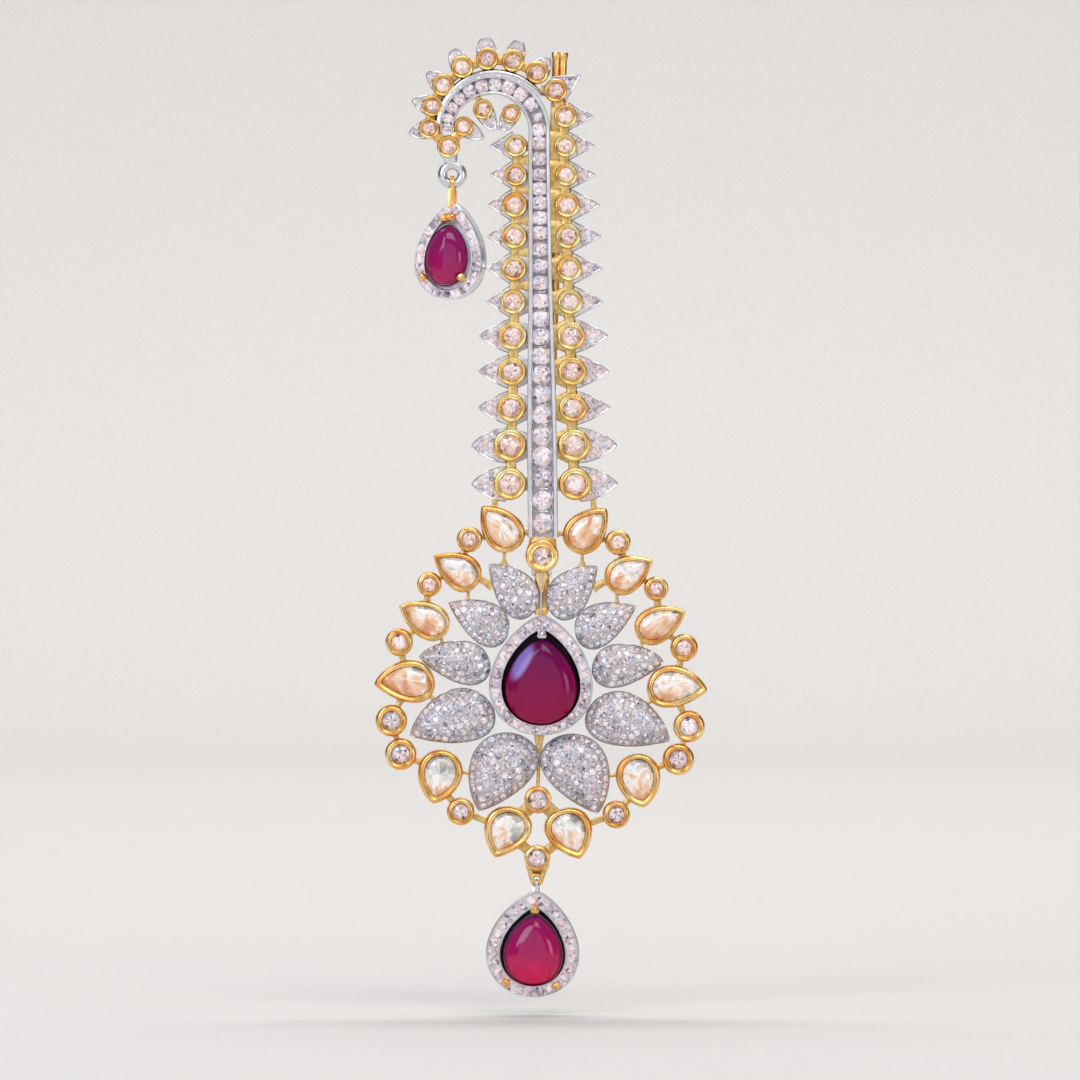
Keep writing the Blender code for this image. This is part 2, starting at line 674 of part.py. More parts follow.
def make_gallery_stones():
    inset = GALLERY_WALL + 0.14
    polki = ((inset + 0.1, GALLERY_FLOOR + 0.1), (inset, GALLERY_RIM - 0.5), (inset + 0.8, GALLERY_RIM + 0.15))
    for side_name, side in (("left", 1.0), ("right", -1.0)):
        for name, *drop in PEARS:
            keep(f"polki_{name}_{side_name}", drop_solid(drop, polki, PEAR_SIDES, side), "polki", flower_axis)
        for name, x, y, radius in ROUNDS:
            mesh = moved(brilliant(radius - inset), Matrix.Translation((side * x, y, 0.0)))
            keep(f"diamond_{name}_{side_name}", mesh, "diamond", flower_axis)
    for name, x, y, radius in MIDDLE_ROUNDS:
        mesh = moved(brilliant(radius - inset), Matrix.Translation((x, y, 0.0)))
        keep(f"diamond_{name}_middle", mesh, "diamond", flower_axis)


def cup_profile(band, back, floor, top):
    """A cup with a flat bottom inside, a straight outer wall and a band on top with a rounded outer edge."""
    return ((0.0, back), (0.0, top - 0.35), (0.4, top), (band, top), (band + 0.12, floor))


def ruby_profile(low, girdle, top):
    return (
        (0.4, low), (0.0, girdle), (0.6, between(girdle, top, 0.55)),
        (1.6, between(girdle, top, 0.9)), (2.6, top),
    )


def prong(x, y, root_x, root_y, low, rim, radius):
    """A round wire that stands beside a stone and bends over it."""
    return wire(((root_x, root_y, low), (root_x, root_y, rim), (x, y, rim + 0.6)), radius)


def make_centre():
    cup = drop_solid(CENTRE_CUP, cup_profile(CENTRE_BAND, 0.0, CENTRE_FLOOR, CENTRE_TOP), CENTRE_SIDES)
    prongs = []
    for x, y in CENTRE_PRONGS:
        root = Vector((x, y)) + Vector((x, y)).normalized() * 1.0
        prongs.append(prong(x, y, root.x, root.y, 2.6, 4.5, PRONG_RADIUS))
    keep("centre_setting", fused([cup, *prongs]), "white_gold", flower_axis)
    ruby = drop_solid(CENTRE_RUBY, ruby_profile(CENTRE_FLOOR + 0.15, 3.3, 5.6), CENTRE_SIDES)
    keep("centre_ruby", ruby, "ruby", flower_axis)


def make_plume_tube():
    mouth = Vector((*TUBE_MOUTH, 0.0))
    foot = Vector((*TUBE_FOOT, 0.0))
    axis = (mouth - foot).normalized()
    length = (mouth - foot).length
    lean = Matrix.Rotation(math.atan2(-axis.x, axis.y), 4, "Z")
    stand = Matrix.Rotation(math.radians(-90), 4, "X")
    place = Matrix.Translation((foot.x, foot.y, TUBE_DEPTH)) @ lean @ stand
    shell = ((0.0, length), (TUBE_LIP, length), (TUBE_RADIUS, length - 1.0), (TUBE_RADIUS, 0.0), (0.0, 0.0))
    bore = ((0.0, length + 1.0), (TUBE_BORE, length + 1.0), (TUBE_BORE, 1.2), (0.0, 1.2))
    offsets = [Matrix.Translation((side * (TUBE_RADIUS - 0.04), 0.0, 0.0)) for side in (-1, 1)]
    barrels = [moved(turned(shell, TUBE_SIDES), place @ offset) for offset in offsets]
    bores = [moved(turned(bore, TUBE_SIDES), place @ offset) for offset in offsets]
    cross_bar = bar(foot.x - 1.0, foot.y, foot.x + 1.0, foot.y, 0.8, TUBE_DEPTH - 0.45, TUBE_DEPTH + 0.6)
    solid = boolean(fused([*barrels, cross_bar]), joined(bores), "DIFFERENCE")
    keep("plume_tube", fused_clean(solid), "yellow_gold", jewel_front)


def fused_clean(mesh):
    """Merges what a cut leaves split and makes triangles."""
    bm = bmesh.new()
    bm.from_mesh(mesh)
    bmesh.ops.remove_doubles(bm, verts=bm.verts, dist=1e-6)
    bmesh.ops.triangulate(bm, faces=bm.faces)
    bm.to_mesh(mesh)
    bm.free()
    return mesh


def bail_mesh(bail, reach):
    """A ribbon over the eye's wire, from the cup's front up and over to its back. The pivot is its origin.

    It is narrow where it passes through the eye and widens below it.
    """
    radius = bail["radius"]
    half = bail["thickness"] / 2
    rows = []
    for side in (1, -1):
        leg = [
            (reach, side * radius, (0.0, side), bail["foot_width"]),
            (-bail["widens"], side * radius, (0.0, side), bail["foot_width"] * 0.85),
            (-0.6 * bail["widens"], side * radius, (0.0, side), bail["width"]),
        ]
        arc = []
        for angle in range(0, 90, 30):
            up = math.sin(math.radians(angle))
            out = side * math.cos(math.radians(angle))
            arc.append((radius * up, radius * out, (up, out), bail["width"]))
        rows.append(leg + arc)
    front, back = rows
    rows = front + [(radius, 0.0, (1.0, 0.0), bail["width"])] + back[::-1]
    rings = []
    for y, z, (normal_y, normal_z), width in rows:
        rings.append([
            (x, y + step * half * normal_y, z + step * half * normal_z)
            for x, step in ((-width / 2, -1), (width / 2, -1), (width / 2, 1), (-width / 2, 1))
        ])
    return loft(rings)


def make_drop(name, data, eye):
    """A drop that hangs free: a cup with a raised band and a bail, and the ruby in it."""
    pivot = Vector((eye["x"], eye["y"] - eye["radius"], eye["height"]))
    empty = make_empty(f"{name}_pivot", jewel_front, pivot)
    back = data["back"]
    top = back + data["thickness"]
    floor = back + 0.9
    cup = data["cup"]
    middle = Vector(((cup[0] + cup[2]) / 2, (cup[1] + cup[3]) / 2))
    place = (
        Matrix.Translation((middle.x - pivot.x, -pivot.y, 0.0))
        @ Matrix.Rotation(math.radians(data["yaw"]), 4, "Y")
        @ Matrix.Translation((-middle.x, 0.0, 0.0))
    )
    meshes = [moved(drop_solid(cup, cup_profile(data["band"], back, floor, top), DROP_SIDES), place)]
    for x, y in data["prongs"]:
        root = Vector((x, y)) + (Vector((x, y)) - middle).normalized() * 0.7
        meshes.append(moved(prong(x, y, root.x, root.y, floor + 0.8, top + 0.2, 0.38), place))
    meshes.append(bail_mesh(data["bail"], cup[3] - pivot.y - 0.9))
    keep(f"{name}_setting", fused(meshes), "white_gold", empty)
    ruby = drop_solid(data["ruby"], ruby_profile(floor + 0.15, top - 0.6, top + 1.4), DROP_SIDES)
    keep(f"{name}_ruby", moved(ruby, place), "ruby", empty)


clear_scene()
collection = bpy.data.collections.new("kalgi")
cutters = bpy.data.collections.new("cutters")
bpy.context.scene.collection.children.link(collection)
bpy.context.scene.collection.children.link(cutters)
cutters.hide_render = True
materials = {name: make_material(name) for name in MATERIALS}
jewel_front = make_empty("jewel_front", turn=(90.0, 0.0, 0.0))
flower_axis = make_empty("flower_axis", jewel_front, turn=(0.0, 0.0, FLOWER_TURN))
make_stem_channel()
make_leaf_rows()
make_crook_row()
make_inner_row()
make_foot_bezel()
make_petals()
make_gallery()
make_gallery_stones()
make_centre()
make_plume_tube()
make_drop("hook_drop", HOOK_DROP, HOOK_EYE)
make_drop("low_drop", LOW_DROP, LOW_EYE)
bpy.context.view_layer.update()
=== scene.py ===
"""Kalgi, the looks: a jewelled ornament that is worn upright on the front of a turban.

Drawings are in millimetres, with X to the right, Y up and Z towards the viewer, and stand() sets them upright in
metres. The origin is the middle of the flower's back. The sections follow the jewel as a maker puts it together.
"""

import math

import bpy
import numpy as np
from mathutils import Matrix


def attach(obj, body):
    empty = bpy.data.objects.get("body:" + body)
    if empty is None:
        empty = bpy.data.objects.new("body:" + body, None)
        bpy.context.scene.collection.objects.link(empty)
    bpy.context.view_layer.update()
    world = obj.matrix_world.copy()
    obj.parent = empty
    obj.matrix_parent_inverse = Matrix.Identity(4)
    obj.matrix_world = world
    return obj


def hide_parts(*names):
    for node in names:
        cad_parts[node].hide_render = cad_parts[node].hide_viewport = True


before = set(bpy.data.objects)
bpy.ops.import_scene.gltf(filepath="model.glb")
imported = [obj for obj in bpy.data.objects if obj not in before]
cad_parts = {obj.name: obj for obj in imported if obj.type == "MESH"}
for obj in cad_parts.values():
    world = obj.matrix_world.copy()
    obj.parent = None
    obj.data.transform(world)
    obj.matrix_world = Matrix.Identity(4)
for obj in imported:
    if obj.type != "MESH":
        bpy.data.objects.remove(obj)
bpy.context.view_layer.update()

# Plume tube
# A pair of thin barrels behind the stem that hold the feather's quill. Each is drawn gold tube with a turned lip,
# and both are soldered at the foot to a cross bar behind the flower.

TUBE_MOUTH, TUBE_FOOT, TUBE_DEPTH = (2.66, 88.05), (0.0, 9.7), -0.74


def linear(colour):
    """Linear red, green, blue and alpha of an sRGB hex colour."""
    parts = [int(colour[i : i + 2], 16) / 255 for i in (1, 3, 5)]
    return (*[c / 12.92 if c <= 0.04045 else ((c + 0.055) / 1.055) ** 2.4 for c in parts], 1.0)


def add_node(tree, kind, settings=None, links=None):
    """Adds a node. Settings are properties, sockets or the stops of a ramp, and links name the node that feeds each."""
    made = tree.nodes.new(kind)
    for name, value in (settings or {}).items():
        if name == "stops":
            stops = made.color_ramp.elements
            while len(stops) < len(value):
                stops.new(0.5)
            for stop, (position, colour) in zip(stops, value):
                stop.position, stop.color = position, linear(colour)
        elif isinstance(name, str) and hasattr(made, name):
            setattr(made, name, value)
        else:
            made.inputs[name].default_value = value
    for name, source in (links or {}).items():
        tree.links.new(source if isinstance(source, bpy.types.NodeSocket) else source.outputs[0], made.inputs[name])
    return made


def blank_material(name):
    """A material with an empty node tree, and the place on the object in metres."""
    made = bpy.data.materials.new(name)
    made.use_nodes = True
    made.node_tree.nodes.clear()
    return made, made.node_tree, add_node(made.node_tree, "ShaderNodeTexCoord").outputs["Object"]


# Yellow gold, cast and then polished by hand: warm, with a soft shine, clouds of more orange metal about 3 mm
# across where the light catches, and fine polishing lines that are drawn 0.15 mm apart so that they show. In corners,
# within about 0.5 mm of the next wall, the colour is darkened to brown as painted shade. The collars of the stem's
# leaves get a lighter, yellower copy of this gold.
GOLD_TINTS = {
    "polished_yellow_gold": ("#F0A65A", "#F6C476", "#F8E0A6"),
    "polished_light_gold": ("#EAAF64", "#F0CF83", "#F2EBB8"),
}
golds = {}
for finish, tints in GOLD_TINTS.items():
    golds[finish], tree, place = blank_material(finish)
    clouds = add_node(tree, "ShaderNodeTexNoise", {"Scale": 330.0, "Detail": 3.0}, {"Vector": place})
    colour = add_node(tree, "ShaderNodeValToRGB", {"stops": tuple(zip((0.32, 0.5, 0.7), tints))}, {"Fac": clouds})
    lines = add_node(tree, "ShaderNodeTexNoise", {"Scale": 6500.0, "Detail": 2.0},
                     {"Vector": add_node(tree, "ShaderNodeMapping", {"Scale": (1.0, 1.0, 0.2)}, {"Vector": place})})
    rough = add_node(tree, "ShaderNodeMapRange", {"To Min": 0.2, "To Max": 0.35}, {"Value": lines})
    bump = add_node(tree, "ShaderNodeBump", {"Strength": 0.12, "Distance": 0.00003}, {"Height": lines})
    # Painted shade: within about 0.5 mm of the next wall the colour is mixed towards brown.
    painted_corner_shade = add_node(tree, "ShaderNodeAmbientOcclusion", {"samples": 6, "Distance": 0.0005}).outputs["AO"]
    painted_corner_shade = add_node(tree, "ShaderNodeMapRange", {"From Min": 0.15, "From Max": 0.7}, {"Value": painted_corner_shade})
    colour = add_node(tree, "ShaderNodeMix", {"data_type": "RGBA", 6: linear("#A07434")}, {0: painted_corner_shade, 7: colour})
    metal = add_node(tree, "ShaderNodeBsdfPrincipled", {"Metallic": 1.0},
                     {"Base Color": colour.outputs[2], "Roughness": rough, "Normal": bump})
    add_node(tree, "ShaderNodeOutputMaterial", links={"Surface": metal})
yellow_gold, light_gold = golds.values()

# The links and struts: the same gold, satin and olive.
matt_gold, tree, place = blank_material("matt_yellow_gold")
grain = add_node(tree, "ShaderNodeTexNoise", {"Scale": 1800.0, "Detail": 4.0}, {"Vector": place})
colour = add_node(tree, "ShaderNodeValToRGB", {"stops": ((0.35, "#CAA662"), (0.65, "#EED494"))}, {"Fac": grain})
metal = add_node(tree, "ShaderNodeBsdfPrincipled", {"Metallic": 1.0, "Roughness": 0.46}, {"Base Color": colour})
add_node(tree, "ShaderNodeOutputMaterial", links={"Surface": metal})


def stand(points, turn=0.0):
    """Sets a drawing upright in metres: turned in its own plane, then (x, y, z) goes to (x, -z, y)."""
    x, y, z = np.asarray(points, float).reshape(-1, 3).T
    c, s = math.cos(math.radians(turn)), math.sin(math.radians(turn))
    return np.stack([x * c - y * s, -z, x * s + y * c], -1) / 1000.0


def skin(rings, closed=False, slot=0):
    """A patch: a surface through rings of points, each with its neighbour's count, joined by four-sided faces.

    Rings run against the clock seen from the end. Ends are closed by a fan to the ring's middle, unless the last
    ring joins the first. A patch is its points, its blocks of faces and a tone for each face.
    """
    rings = np.asarray(rings, float)
    rows, count = rings.shape[:2]
    i, j = np.meshgrid(np.arange(rows if closed else rows - 1), np.arange(count), indexing="ij")
    after, beside = (i + 1) % rows, (j + 1) % count
    quads = np.stack([i * count + j, i * count + beside, after * count + beside, after * count + j], -1)
    points, blocks = rings.reshape(-1, 3), [quads.reshape(-1, 4)]
    if not closed:
        j = np.arange(count)
        last = (rows - 1) * count
        ends = [np.stack([np.full(count, rows * count), (j + 1) % count, j], -1),
                np.stack([np.full(count, rows * count + 1), last + j, last + (j + 1) % count], -1)]
        points = np.concatenate([points, rings[[0, -1]].mean(1)])
        blocks.append(np.concatenate(ends))
    return points, blocks, np.full(sum(map(len, blocks)), 0.5)


def turned(profile, x=0.0, y=0.0, steps=40):
    """A lathe surface: (radius, height) rows from the back up the outer side, carried round a centre."""
    radius, height = np.asarray(profile, float).T
    angle = 2 * np.pi * np.arange(steps) / steps
    rings = np.stack([x + radius[:, None] * np.cos(angle), y + radius[:, None] * np.sin(angle),
                      np.repeat(height[:, None], steps, 1)], -1)
    return skin(rings)


def moved(patch, move):
    """A patch with each of its points put through a function."""
    points, blocks, tones = patch
    return move(points), blocks, tones


def mirrored(patch):
    """A patch on the other side of the middle line, with its faces still turned outwards."""
    points, blocks, tones = patch
    return points * (-1, 1, 1), [block[:, ::-1] for block in blocks], tones


def make_piece(name, patches, material, body="ornament", nodes=(), turn=0.0, faceted=False):
    """One piece of the jewel from patches. It rides on a body and stands for the CAD nodes that are named."""
    starts = np.cumsum([0] + [len(points) for points, _, _ in patches])
    faces = [face for start, (_, blocks, _) in zip(starts, patches) for block in blocks for face in
             (block + start).tolist()]
    mesh = bpy.data.meshes.new(name)
    mesh.from_pydata(stand(np.concatenate([points for points, _, _ in patches]), turn).tolist(), [], faces)
    tone = mesh.attributes.new("tone", "FLOAT", "FACE")
    tone.data.foreach_set("value", np.concatenate([tones for _, _, tones in patches]).astype(np.float32))
    mesh.materials.append(material)
    if not faceted:
        mesh.shade_smooth()
        mesh.set_sharp_from_angle(angle=math.radians(38))
    mesh.update()
    piece = bpy.data.objects.new(name, mesh)
    bpy.context.scene.collection.objects.link(piece)
    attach(piece, body)
    if nodes:
        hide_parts(*nodes)
    return piece


def strap(start, end, halves, low, high, rows=9):
    """A flat bar with soft upper edges between two places. Its half width runs smoothly through the given values."""
    start, end = np.asarray(start, float), np.asarray(end, float)
    along = (end - start) / np.linalg.norm(end - start)
    share = np.linspace(0, 1, rows)
    spot = np.linspace(0, 1, len(halves))
    half = np.interp((1 - np.cos(np.pi * share)) / 2 if len(halves) == 2 else share, spot, halves)
    across = np.array([-1, 1, 1, 0.82, 0.4, -0.4, -0.82, -1])
    level = np.array([0, 0, 0.6, 0.9, 1, 1, 0.9, 0.6])
    middle = start + share[:, None] * (end - start)
    rings = np.empty((rows, 8, 3))
    rings[:, :, 0] = middle[:, None, 0] - across * half[:, None] * along[1]
    rings[:, :, 1] = middle[:, None, 1] + across * half[:, None] * along[0]
    rings[:, :, 2] = low + level * (high - low)
    return skin(rings)


tube_run = np.subtract(TUBE_MOUTH, TUBE_FOOT)
tube_length = float(np.hypot(*tube_run))
tube_along = tube_run / tube_length
barrel = ((0.0, 0.0), (0.54, 0.0), (0.54, tube_length - 1.3), (0.56, tube_length - 1.0), (0.67, tube_length - 0.6),
          (0.68, tube_length - 0.1), (0.63, tube_length), (0.36, tube_length), (0.32, tube_length - 0.1),
          (0.32, 1.2), (0.0, 1.2))


def stand_barrel(side):
    """Lays a barrel that was turned about Z along the tube's run: its height goes along, its radius across and in."""
    def lay(points):
        across = points[:, 0] + side * 0.5
        flat = np.array(TUBE_FOOT) + points[:, 2:3] * tube_along + across[:, None] * (tube_along[1], -tube_along[0])
        return np.column_stack([flat, TUBE_DEPTH - points[:, 1]])
    return lay


tube = [moved(turned(barrel, steps=24), stand_barrel(side)) for side in (-1, 1)]
tube.append(strap((-1.0, 9.7), (1.0, 9.7), (0.4, 0.4), TUBE_DEPTH - 0.45, TUBE_DEPTH + 0.6))
make_piece("plume_barrels", tube, yellow_gold, nodes=("plume_tube",))

# Stem channel
# Two rails of rhodium plated gold run up the stem and round the crook, bright and flat on top, with a row of round
# cut diamonds held between them. Between stones the drilled seat lies open, so it reads as a dark gap.

STEM_FOOT, STEM_SHOULDER = (0.28, 19.9), (-0.3, 76.8)
STEM_WIDTHS = np.array(((19.9, 2.1), (32.0, 2.1), (42.0, 1.95), (56.0, 1.66), (76.8, 1.5)))  # height, half width
CROOK_CENTRE, CROOK_RADIUS, CROOK_END_TURN, CROOK_END_HALF = np.array((-6.75, 76.8)), 6.52, 179.0, 0.85
RAIL_TOP, CHANNEL_FLOOR, STONE_TABLE = 2.6, 1.4, 2.4
ROUND_STONES_BELOW = 40.0  # further up, the stones are cut squarer and leave only a narrow slot
STEM_STONE_ROWS = (523, 500.5, 478, 456.5, 436, 415, 394.5, 375, 356, 337, 319, 301, 283, 266.5, 249.5, 233, 218,
                   203, 189, 175, 159, 143, 130, 116)  # the stones' rows in the photograph, 0.14 mm apart

# Rhodium plate over white gold: a cool, almost colourless mirror with faint polishing lines.
white_gold, tree, place = blank_material("rhodium_plated_white_gold")
clouds = add_node(tree, "ShaderNodeTexNoise", {"Scale": 420.0, "Detail": 3.0}, {"Vector": place})
colour = add_node(tree, "ShaderNodeValToRGB", {"stops": ((0.35, "#D3D4D9"), (0.65, "#E4E4E8"))}, {"Fac": clouds})
lines = add_node(tree, "ShaderNodeTexNoise", {"Scale": 6500.0, "Detail": 2.0},
                 {"Vector": add_node(tree, "ShaderNodeMapping", {"Scale": (1.0, 1.0, 0.2)}, {"Vector": place})})
rough = add_node(tree, "ShaderNodeMapRange", {"To Min": 0.16, "To Max": 0.32}, {"Value": lines})
bump = add_node(tree, "ShaderNodeBump", {"Strength": 0.12, "Distance": 0.00003}, {"Height": lines})
metal = add_node(tree, "ShaderNodeBsdfPrincipled", {"Metallic": 1.0},
                 {"Base Color": colour, "Roughness": rough, "Normal": bump})
add_node(tree, "ShaderNodeOutputMaterial", links={"Surface": metal})

# Seats and plates under stones: rhodium plated too, but cut by drill and graver all over, so they are bright
# without a clear mirror.
graved_plate, tree, place = blank_material("graved_white_gold")
cuts = add_node(tree, "ShaderNodeTexNoise", {"Scale": 5200.0, "Detail": 3.0}, {"Vector": place})
colour = add_node(tree, "ShaderNodeValToRGB", {"stops": ((0.35, "#A8A3A8"), (0.65, "#ECE8EA"))}, {"Fac": cuts})
bump = add_node(tree, "ShaderNodeBump", {"Strength": 0.5, "Distance": 0.00008}, {"Height": cuts})
metal = add_node(tree, "ShaderNodeBsdfPrincipled", {"Metallic": 0.7, "Roughness": 0.5},
                 {"Base Color": colour, "Normal": bump})
add_node(tree, "ShaderNodeOutputMaterial", links={"Surface": metal})

# Diamonds: each facet carries its own tone, a painted reflection that goes from the dark of a facet that looks through
# the stone to the white of one that throws light back, with finer painted glints inside each facet. They are rose in
# white metal, peach between yellow gold leaves, and lilac in the crowded pavé, with a second tint in patches about 1 mm
# across.
DIAMOND_TINTS = {
    "rose_diamond": (("#4C4246", "#96848A", "#CEB5B6", "#E8D0CC", "#FBEDE8"),
                     ("#444450", "#888696", "#BAB6C4", "#D8D6E0", "#F8F4F8")),
    "peach_diamond": (("#6A5048", "#AC8476", "#DEB4A2", "#F2CFBC", "#FFEDE0"),
                      ("#544A54", "#988692", "#CEB6B8", "#E8D2D0", "#FFF2F0")),
    "lilac_diamond": (("#585052", "#968C8E", "#C8B8B8", "#E4D2D0", "#FEF2EE"),
                      ("#484E5C", "#808A9E", "#AEB8C8", "#CED6E2", "#F4F8FF")),
}
diamonds = {}
for finish, (main_tint, second_tint) in DIAMOND_TINTS.items():
    diamonds[finish], tree, place = blank_material(finish)
    tone = add_node(tree, "ShaderNodeAttribute", {"attribute_name": "tone"}).outputs["Fac"]
    # Painted glints: fine flecks that brighten or darken each facet's tone.
    painted_glints = add_node(tree, "ShaderNodeTexNoise", {"Scale": 5200.0, "Detail": 1.0}, {"Vector": place})
    spread = add_node(tree, "ShaderNodeMath", {"operation": "MULTIPLY_ADD", 1: 0.42, 2: -0.21}, {0: painted_glints})
    tone = add_node(tree, "ShaderNodeMath", {"operation": "ADD"}, {0: tone, 1: spread})
    ramps = [add_node(tree, "ShaderNodeValToRGB", {"stops": tuple(zip((0.05, 0.25, 0.45, 0.65, 0.85), tint))},
                      {"Fac": tone}) for tint in (main_tint, second_tint)]
    patches = add_node(tree, "ShaderNodeTexNoise", {"Scale": 900.0, "Detail": 2.0}, {"Vector": place})
    patches = add_node(tree, "ShaderNodeMapRange", {"From Min": 0.44, "From Max": 0.6}, {"Value": patches})
    colour = add_node(tree, "ShaderNodeMix", {"data_type": "RGBA"}, {0: patches, 6: ramps[0], 7: ramps[1]})
    stone = add_node(tree, "ShaderNodeBsdfPrincipled", {"Roughness": 0.08, "IOR": 2.0},
                     {"Base Color": colour.outputs[2]})
    add_node(tree, "ShaderNodeOutputMaterial", links={"Surface": stone})
rose_diamond, peach_diamond, lilac_diamond = diamonds.values()


def carry(path, direction, section):
    """A section, drawn as (to the left, height), set square to a path at each of its points.

    A point of ring i is path(i) + left(i) times the section's first number, at the height of its second.
    """
    angle = np.radians(direction)
    left = np.stack([-np.sin(angle), np.cos(angle)], -1)
    section = np.broadcast_to(section, (len(path),) + np.shape(section)[-2:])
    flat = path[:, None] + section[..., :1] * left[:, None]
    return np.concatenate([flat, section[..., 1:]], -1)


def crook_point(turn, distance):
    """Places round the crook's centre, with the turn in degrees from the right."""
    angle = np.radians(turn)
    return CROOK_CENTRE + np.stack([distance * np.cos(angle), distance * np.sin(angle)], -1)


def crook_half(turn):
    """The crook's half width: it narrows with the square of the turn."""
    return 1.5 + (CROOK_END_HALF - 1.5) * (np.asarray(turn) / CROOK_END_TURN) ** 2


def stem_middle(y):
    return np.interp(y, (STEM_FOOT[1], STEM_SHOULDER[1]), (STEM_FOOT[0], STEM_SHOULDER[0]))


def stem_half(y):
    return np.interp(y, *STEM_WIDTHS.T)


def rail_wall(half):
    """How wide a rail is where the channel has a half width: it thins out towards the crook's end."""
    return np.interp(half, (0.85, 1.3, 1.55, 2.1), (0.28, 0.46, 0.72, 0.8))


stem_y = np.linspace(19.9, 76.8, 30)[:-1]
crook_turn = np.linspace(0, CROOK_END_TURN, 61)
channel_path = np.concatenate([np.stack([stem_middle(stem_y), stem_y], -1), crook_point(crook_turn, CROOK_RADIUS)])
channel_way = np.concatenate([np.full(29, 90.58), 90 + crook_turn])
channel_half = np.concatenate([stem_half(stem_y), crook_half(crook_turn)])


def rail_section(side):
    """The cut shape of a rail on the left or right: a flat top with small rounded edges, over the channel's floor."""
    outer, inner = channel_half, channel_half - rail_wall(channel_half)
    edge = 0.4 * (outer - inner)
    rows = ((inner + 0.04, 0.0), (outer, 0.0), (outer, 2.42), (outer - 0.04, 2.54), (outer - 0.1, RAIL_TOP),
            (inner + edge, RAIL_TOP), (inner + 0.7 * edge, 2.56), (inner + 0.05, 2.36), (inner, 2.26), (inner, 1.5))
    section = np.stack([np.stack([side * across, np.full(len(outer), height)], -1) for across, height in rows], 1)
    return section if side > 0 else section[:, ::-1]


floor_half = channel_half - rail_wall(channel_half) + 0.02
floor_section = np.stack([np.stack([side * floor_half, np.full(len(floor_half), height)], -1)
                          for side, height in ((-1, 0.02), (1, 0.02), (1, CHANNEL_FLOOR), (-1, CHANNEL_FLOOR))], 1)
rails = [skin(carry(channel_path, channel_way, rail_section(side))) for side in (1, -1)]
make_piece("channel_rails", rails, white_gold, nodes=("stem_channel",))
make_piece("channel_seat", [skin(carry(channel_path, channel_way, floor_section))], graved_plate)


def cut_round(corners=2.0):
    """A brilliant of radius 1: a table in wedges, eight stars, eight kites and sixteen upper girdle facets.

    Each point at an angle t is drawn out by (|cos t|^n + |sin t|^n)^(-1/n), so n = 2 is round and 4 is a cushion.
    """
    eighth = np.arange(8) * np.pi / 4
    step = np.arange(16) * np.pi / 8

    def ring(angle, radius, height):
        x, y = np.cos(angle), np.sin(angle)
        radius = radius * (np.abs(x) ** corners + np.abs(y) ** corners) ** (-1 / corners)
        return np.stack([radius * x, radius * y, np.full(len(angle), height)], -1)

    points = np.concatenate([ring(eighth, 0.55, 0.34), ring(eighth + np.pi / 8, 0.508, 0.34),
                             ring(eighth + np.pi / 8, 0.78, 0.2), ring(step, 1.0, 0.0), [(0, 0, 0.34)]])
    k = np.arange(8)
    n = (k + 1) % 8
    table = np.concatenate([np.stack([k * 0 + 40, k, 8 + k], -1), np.stack([k * 0 + 40, 8 + k, n], -1)])
    girdle = np.concatenate([np.stack([16 + k, 24 + 2 * k, 25 + 2 * k], -1),
                             np.stack([16 + k, 25 + 2 * k, 24 + (2 * k + 2) % 16], -1)])
    stars = np.stack([k, 16 + k, n, 8 + k], -1)
    kites = np.stack([k, 16 + (k - 1) % 8, 24 + 2 * k, 16 + k], -1)
    return points, [np.concatenate([table, girdle]), np.concatenate([stars, kites]), np.arange(39, 23, -1)[None]]


def set_stones(cut, places, radius, seed, normals=(0.0, 0.0, 1.0), bright=0.55, spread=0.24, vary=0.08, turns=None):
    """Copies of a cut stone, one at each place, square to its normal and turned by chance or by turns, as one patch.

    A point of copy n is place(n) + radius(n) times (x u + y v + z normal), with u and v at right angles to the
    normal. Each stone has a tone of its own, and each of its facets strays from that.
    """
    chance = np.random.default_rng(seed)
    points, blocks = cut
    places = np.asarray(places, float).reshape(-1, 3)
    count = len(places)
    radius = np.broadcast_to(radius, count)
    normals = np.broadcast_to(normals, (count, 3))
    side = np.cross((0.0, 1.0, 0.0), normals)
    side /= np.linalg.norm(side, axis=1, keepdims=True)
    up = np.cross(normals, side)
    spin = chance.uniform(0, 2 * np.pi, (count, 1)) if turns is None else np.reshape(turns, (count, 1))
    axes = np.stack([np.cos(spin) * side + np.sin(spin) * up, np.cos(spin) * up - np.sin(spin) * side, normals], 1)
    copies = places[:, None] + (points[None] * radius[:, None, None]) @ axes
    starts = np.arange(count)[:, None, None] * len(points)
    own = chance.normal(bright, vary, (count, 1))
    tones = [(own + chance.normal(0, spread, (count, len(block)))).ravel() for block in blocks]
    return copies.reshape(-1, 3), [(block + starts).reshape(-1, block.shape[1]) for block in blocks], np.concatenate(
        tones)


stem_rows = (680 - np.array(STEM_STONE_ROWS)) * 0.14
crook_rows = 175 - 158 * np.linspace(1, 0, 11) ** 1.15
stone_middles = np.concatenate([np.stack([stem_middle(stem_rows), stem_rows], -1),
                                crook_point(crook_rows, CROOK_RADIUS)])
stone_halves = np.concatenate([stem_half(stem_rows), crook_half(crook_rows)])
stone_pitch = np.linalg.norm(np.gradient(stone_middles, axis=0), axis=1)
stone_halves = np.minimum(stone_halves - rail_wall(stone_halves) + 0.12, 0.49 * stone_pitch)
stone_places = np.column_stack([stone_middles, STONE_TABLE + 0.1 - 0.34 * stone_halves])
stone_turns = np.radians(np.concatenate([np.full(len(stem_rows), -0.6), crook_rows]))
rounds = stone_places[:, 1] < ROUND_STONES_BELOW
channel_set = [set_stones(cut_round(), stone_places[rounds], stone_halves[rounds], 11, bright=0.62, spread=0.2),
               set_stones(cut_round(3.2), stone_places[~rounds], stone_halves[~rounds] * 0.98, 12, bright=0.62,
                          spread=0.2, turns=stone_turns[~rounds])]
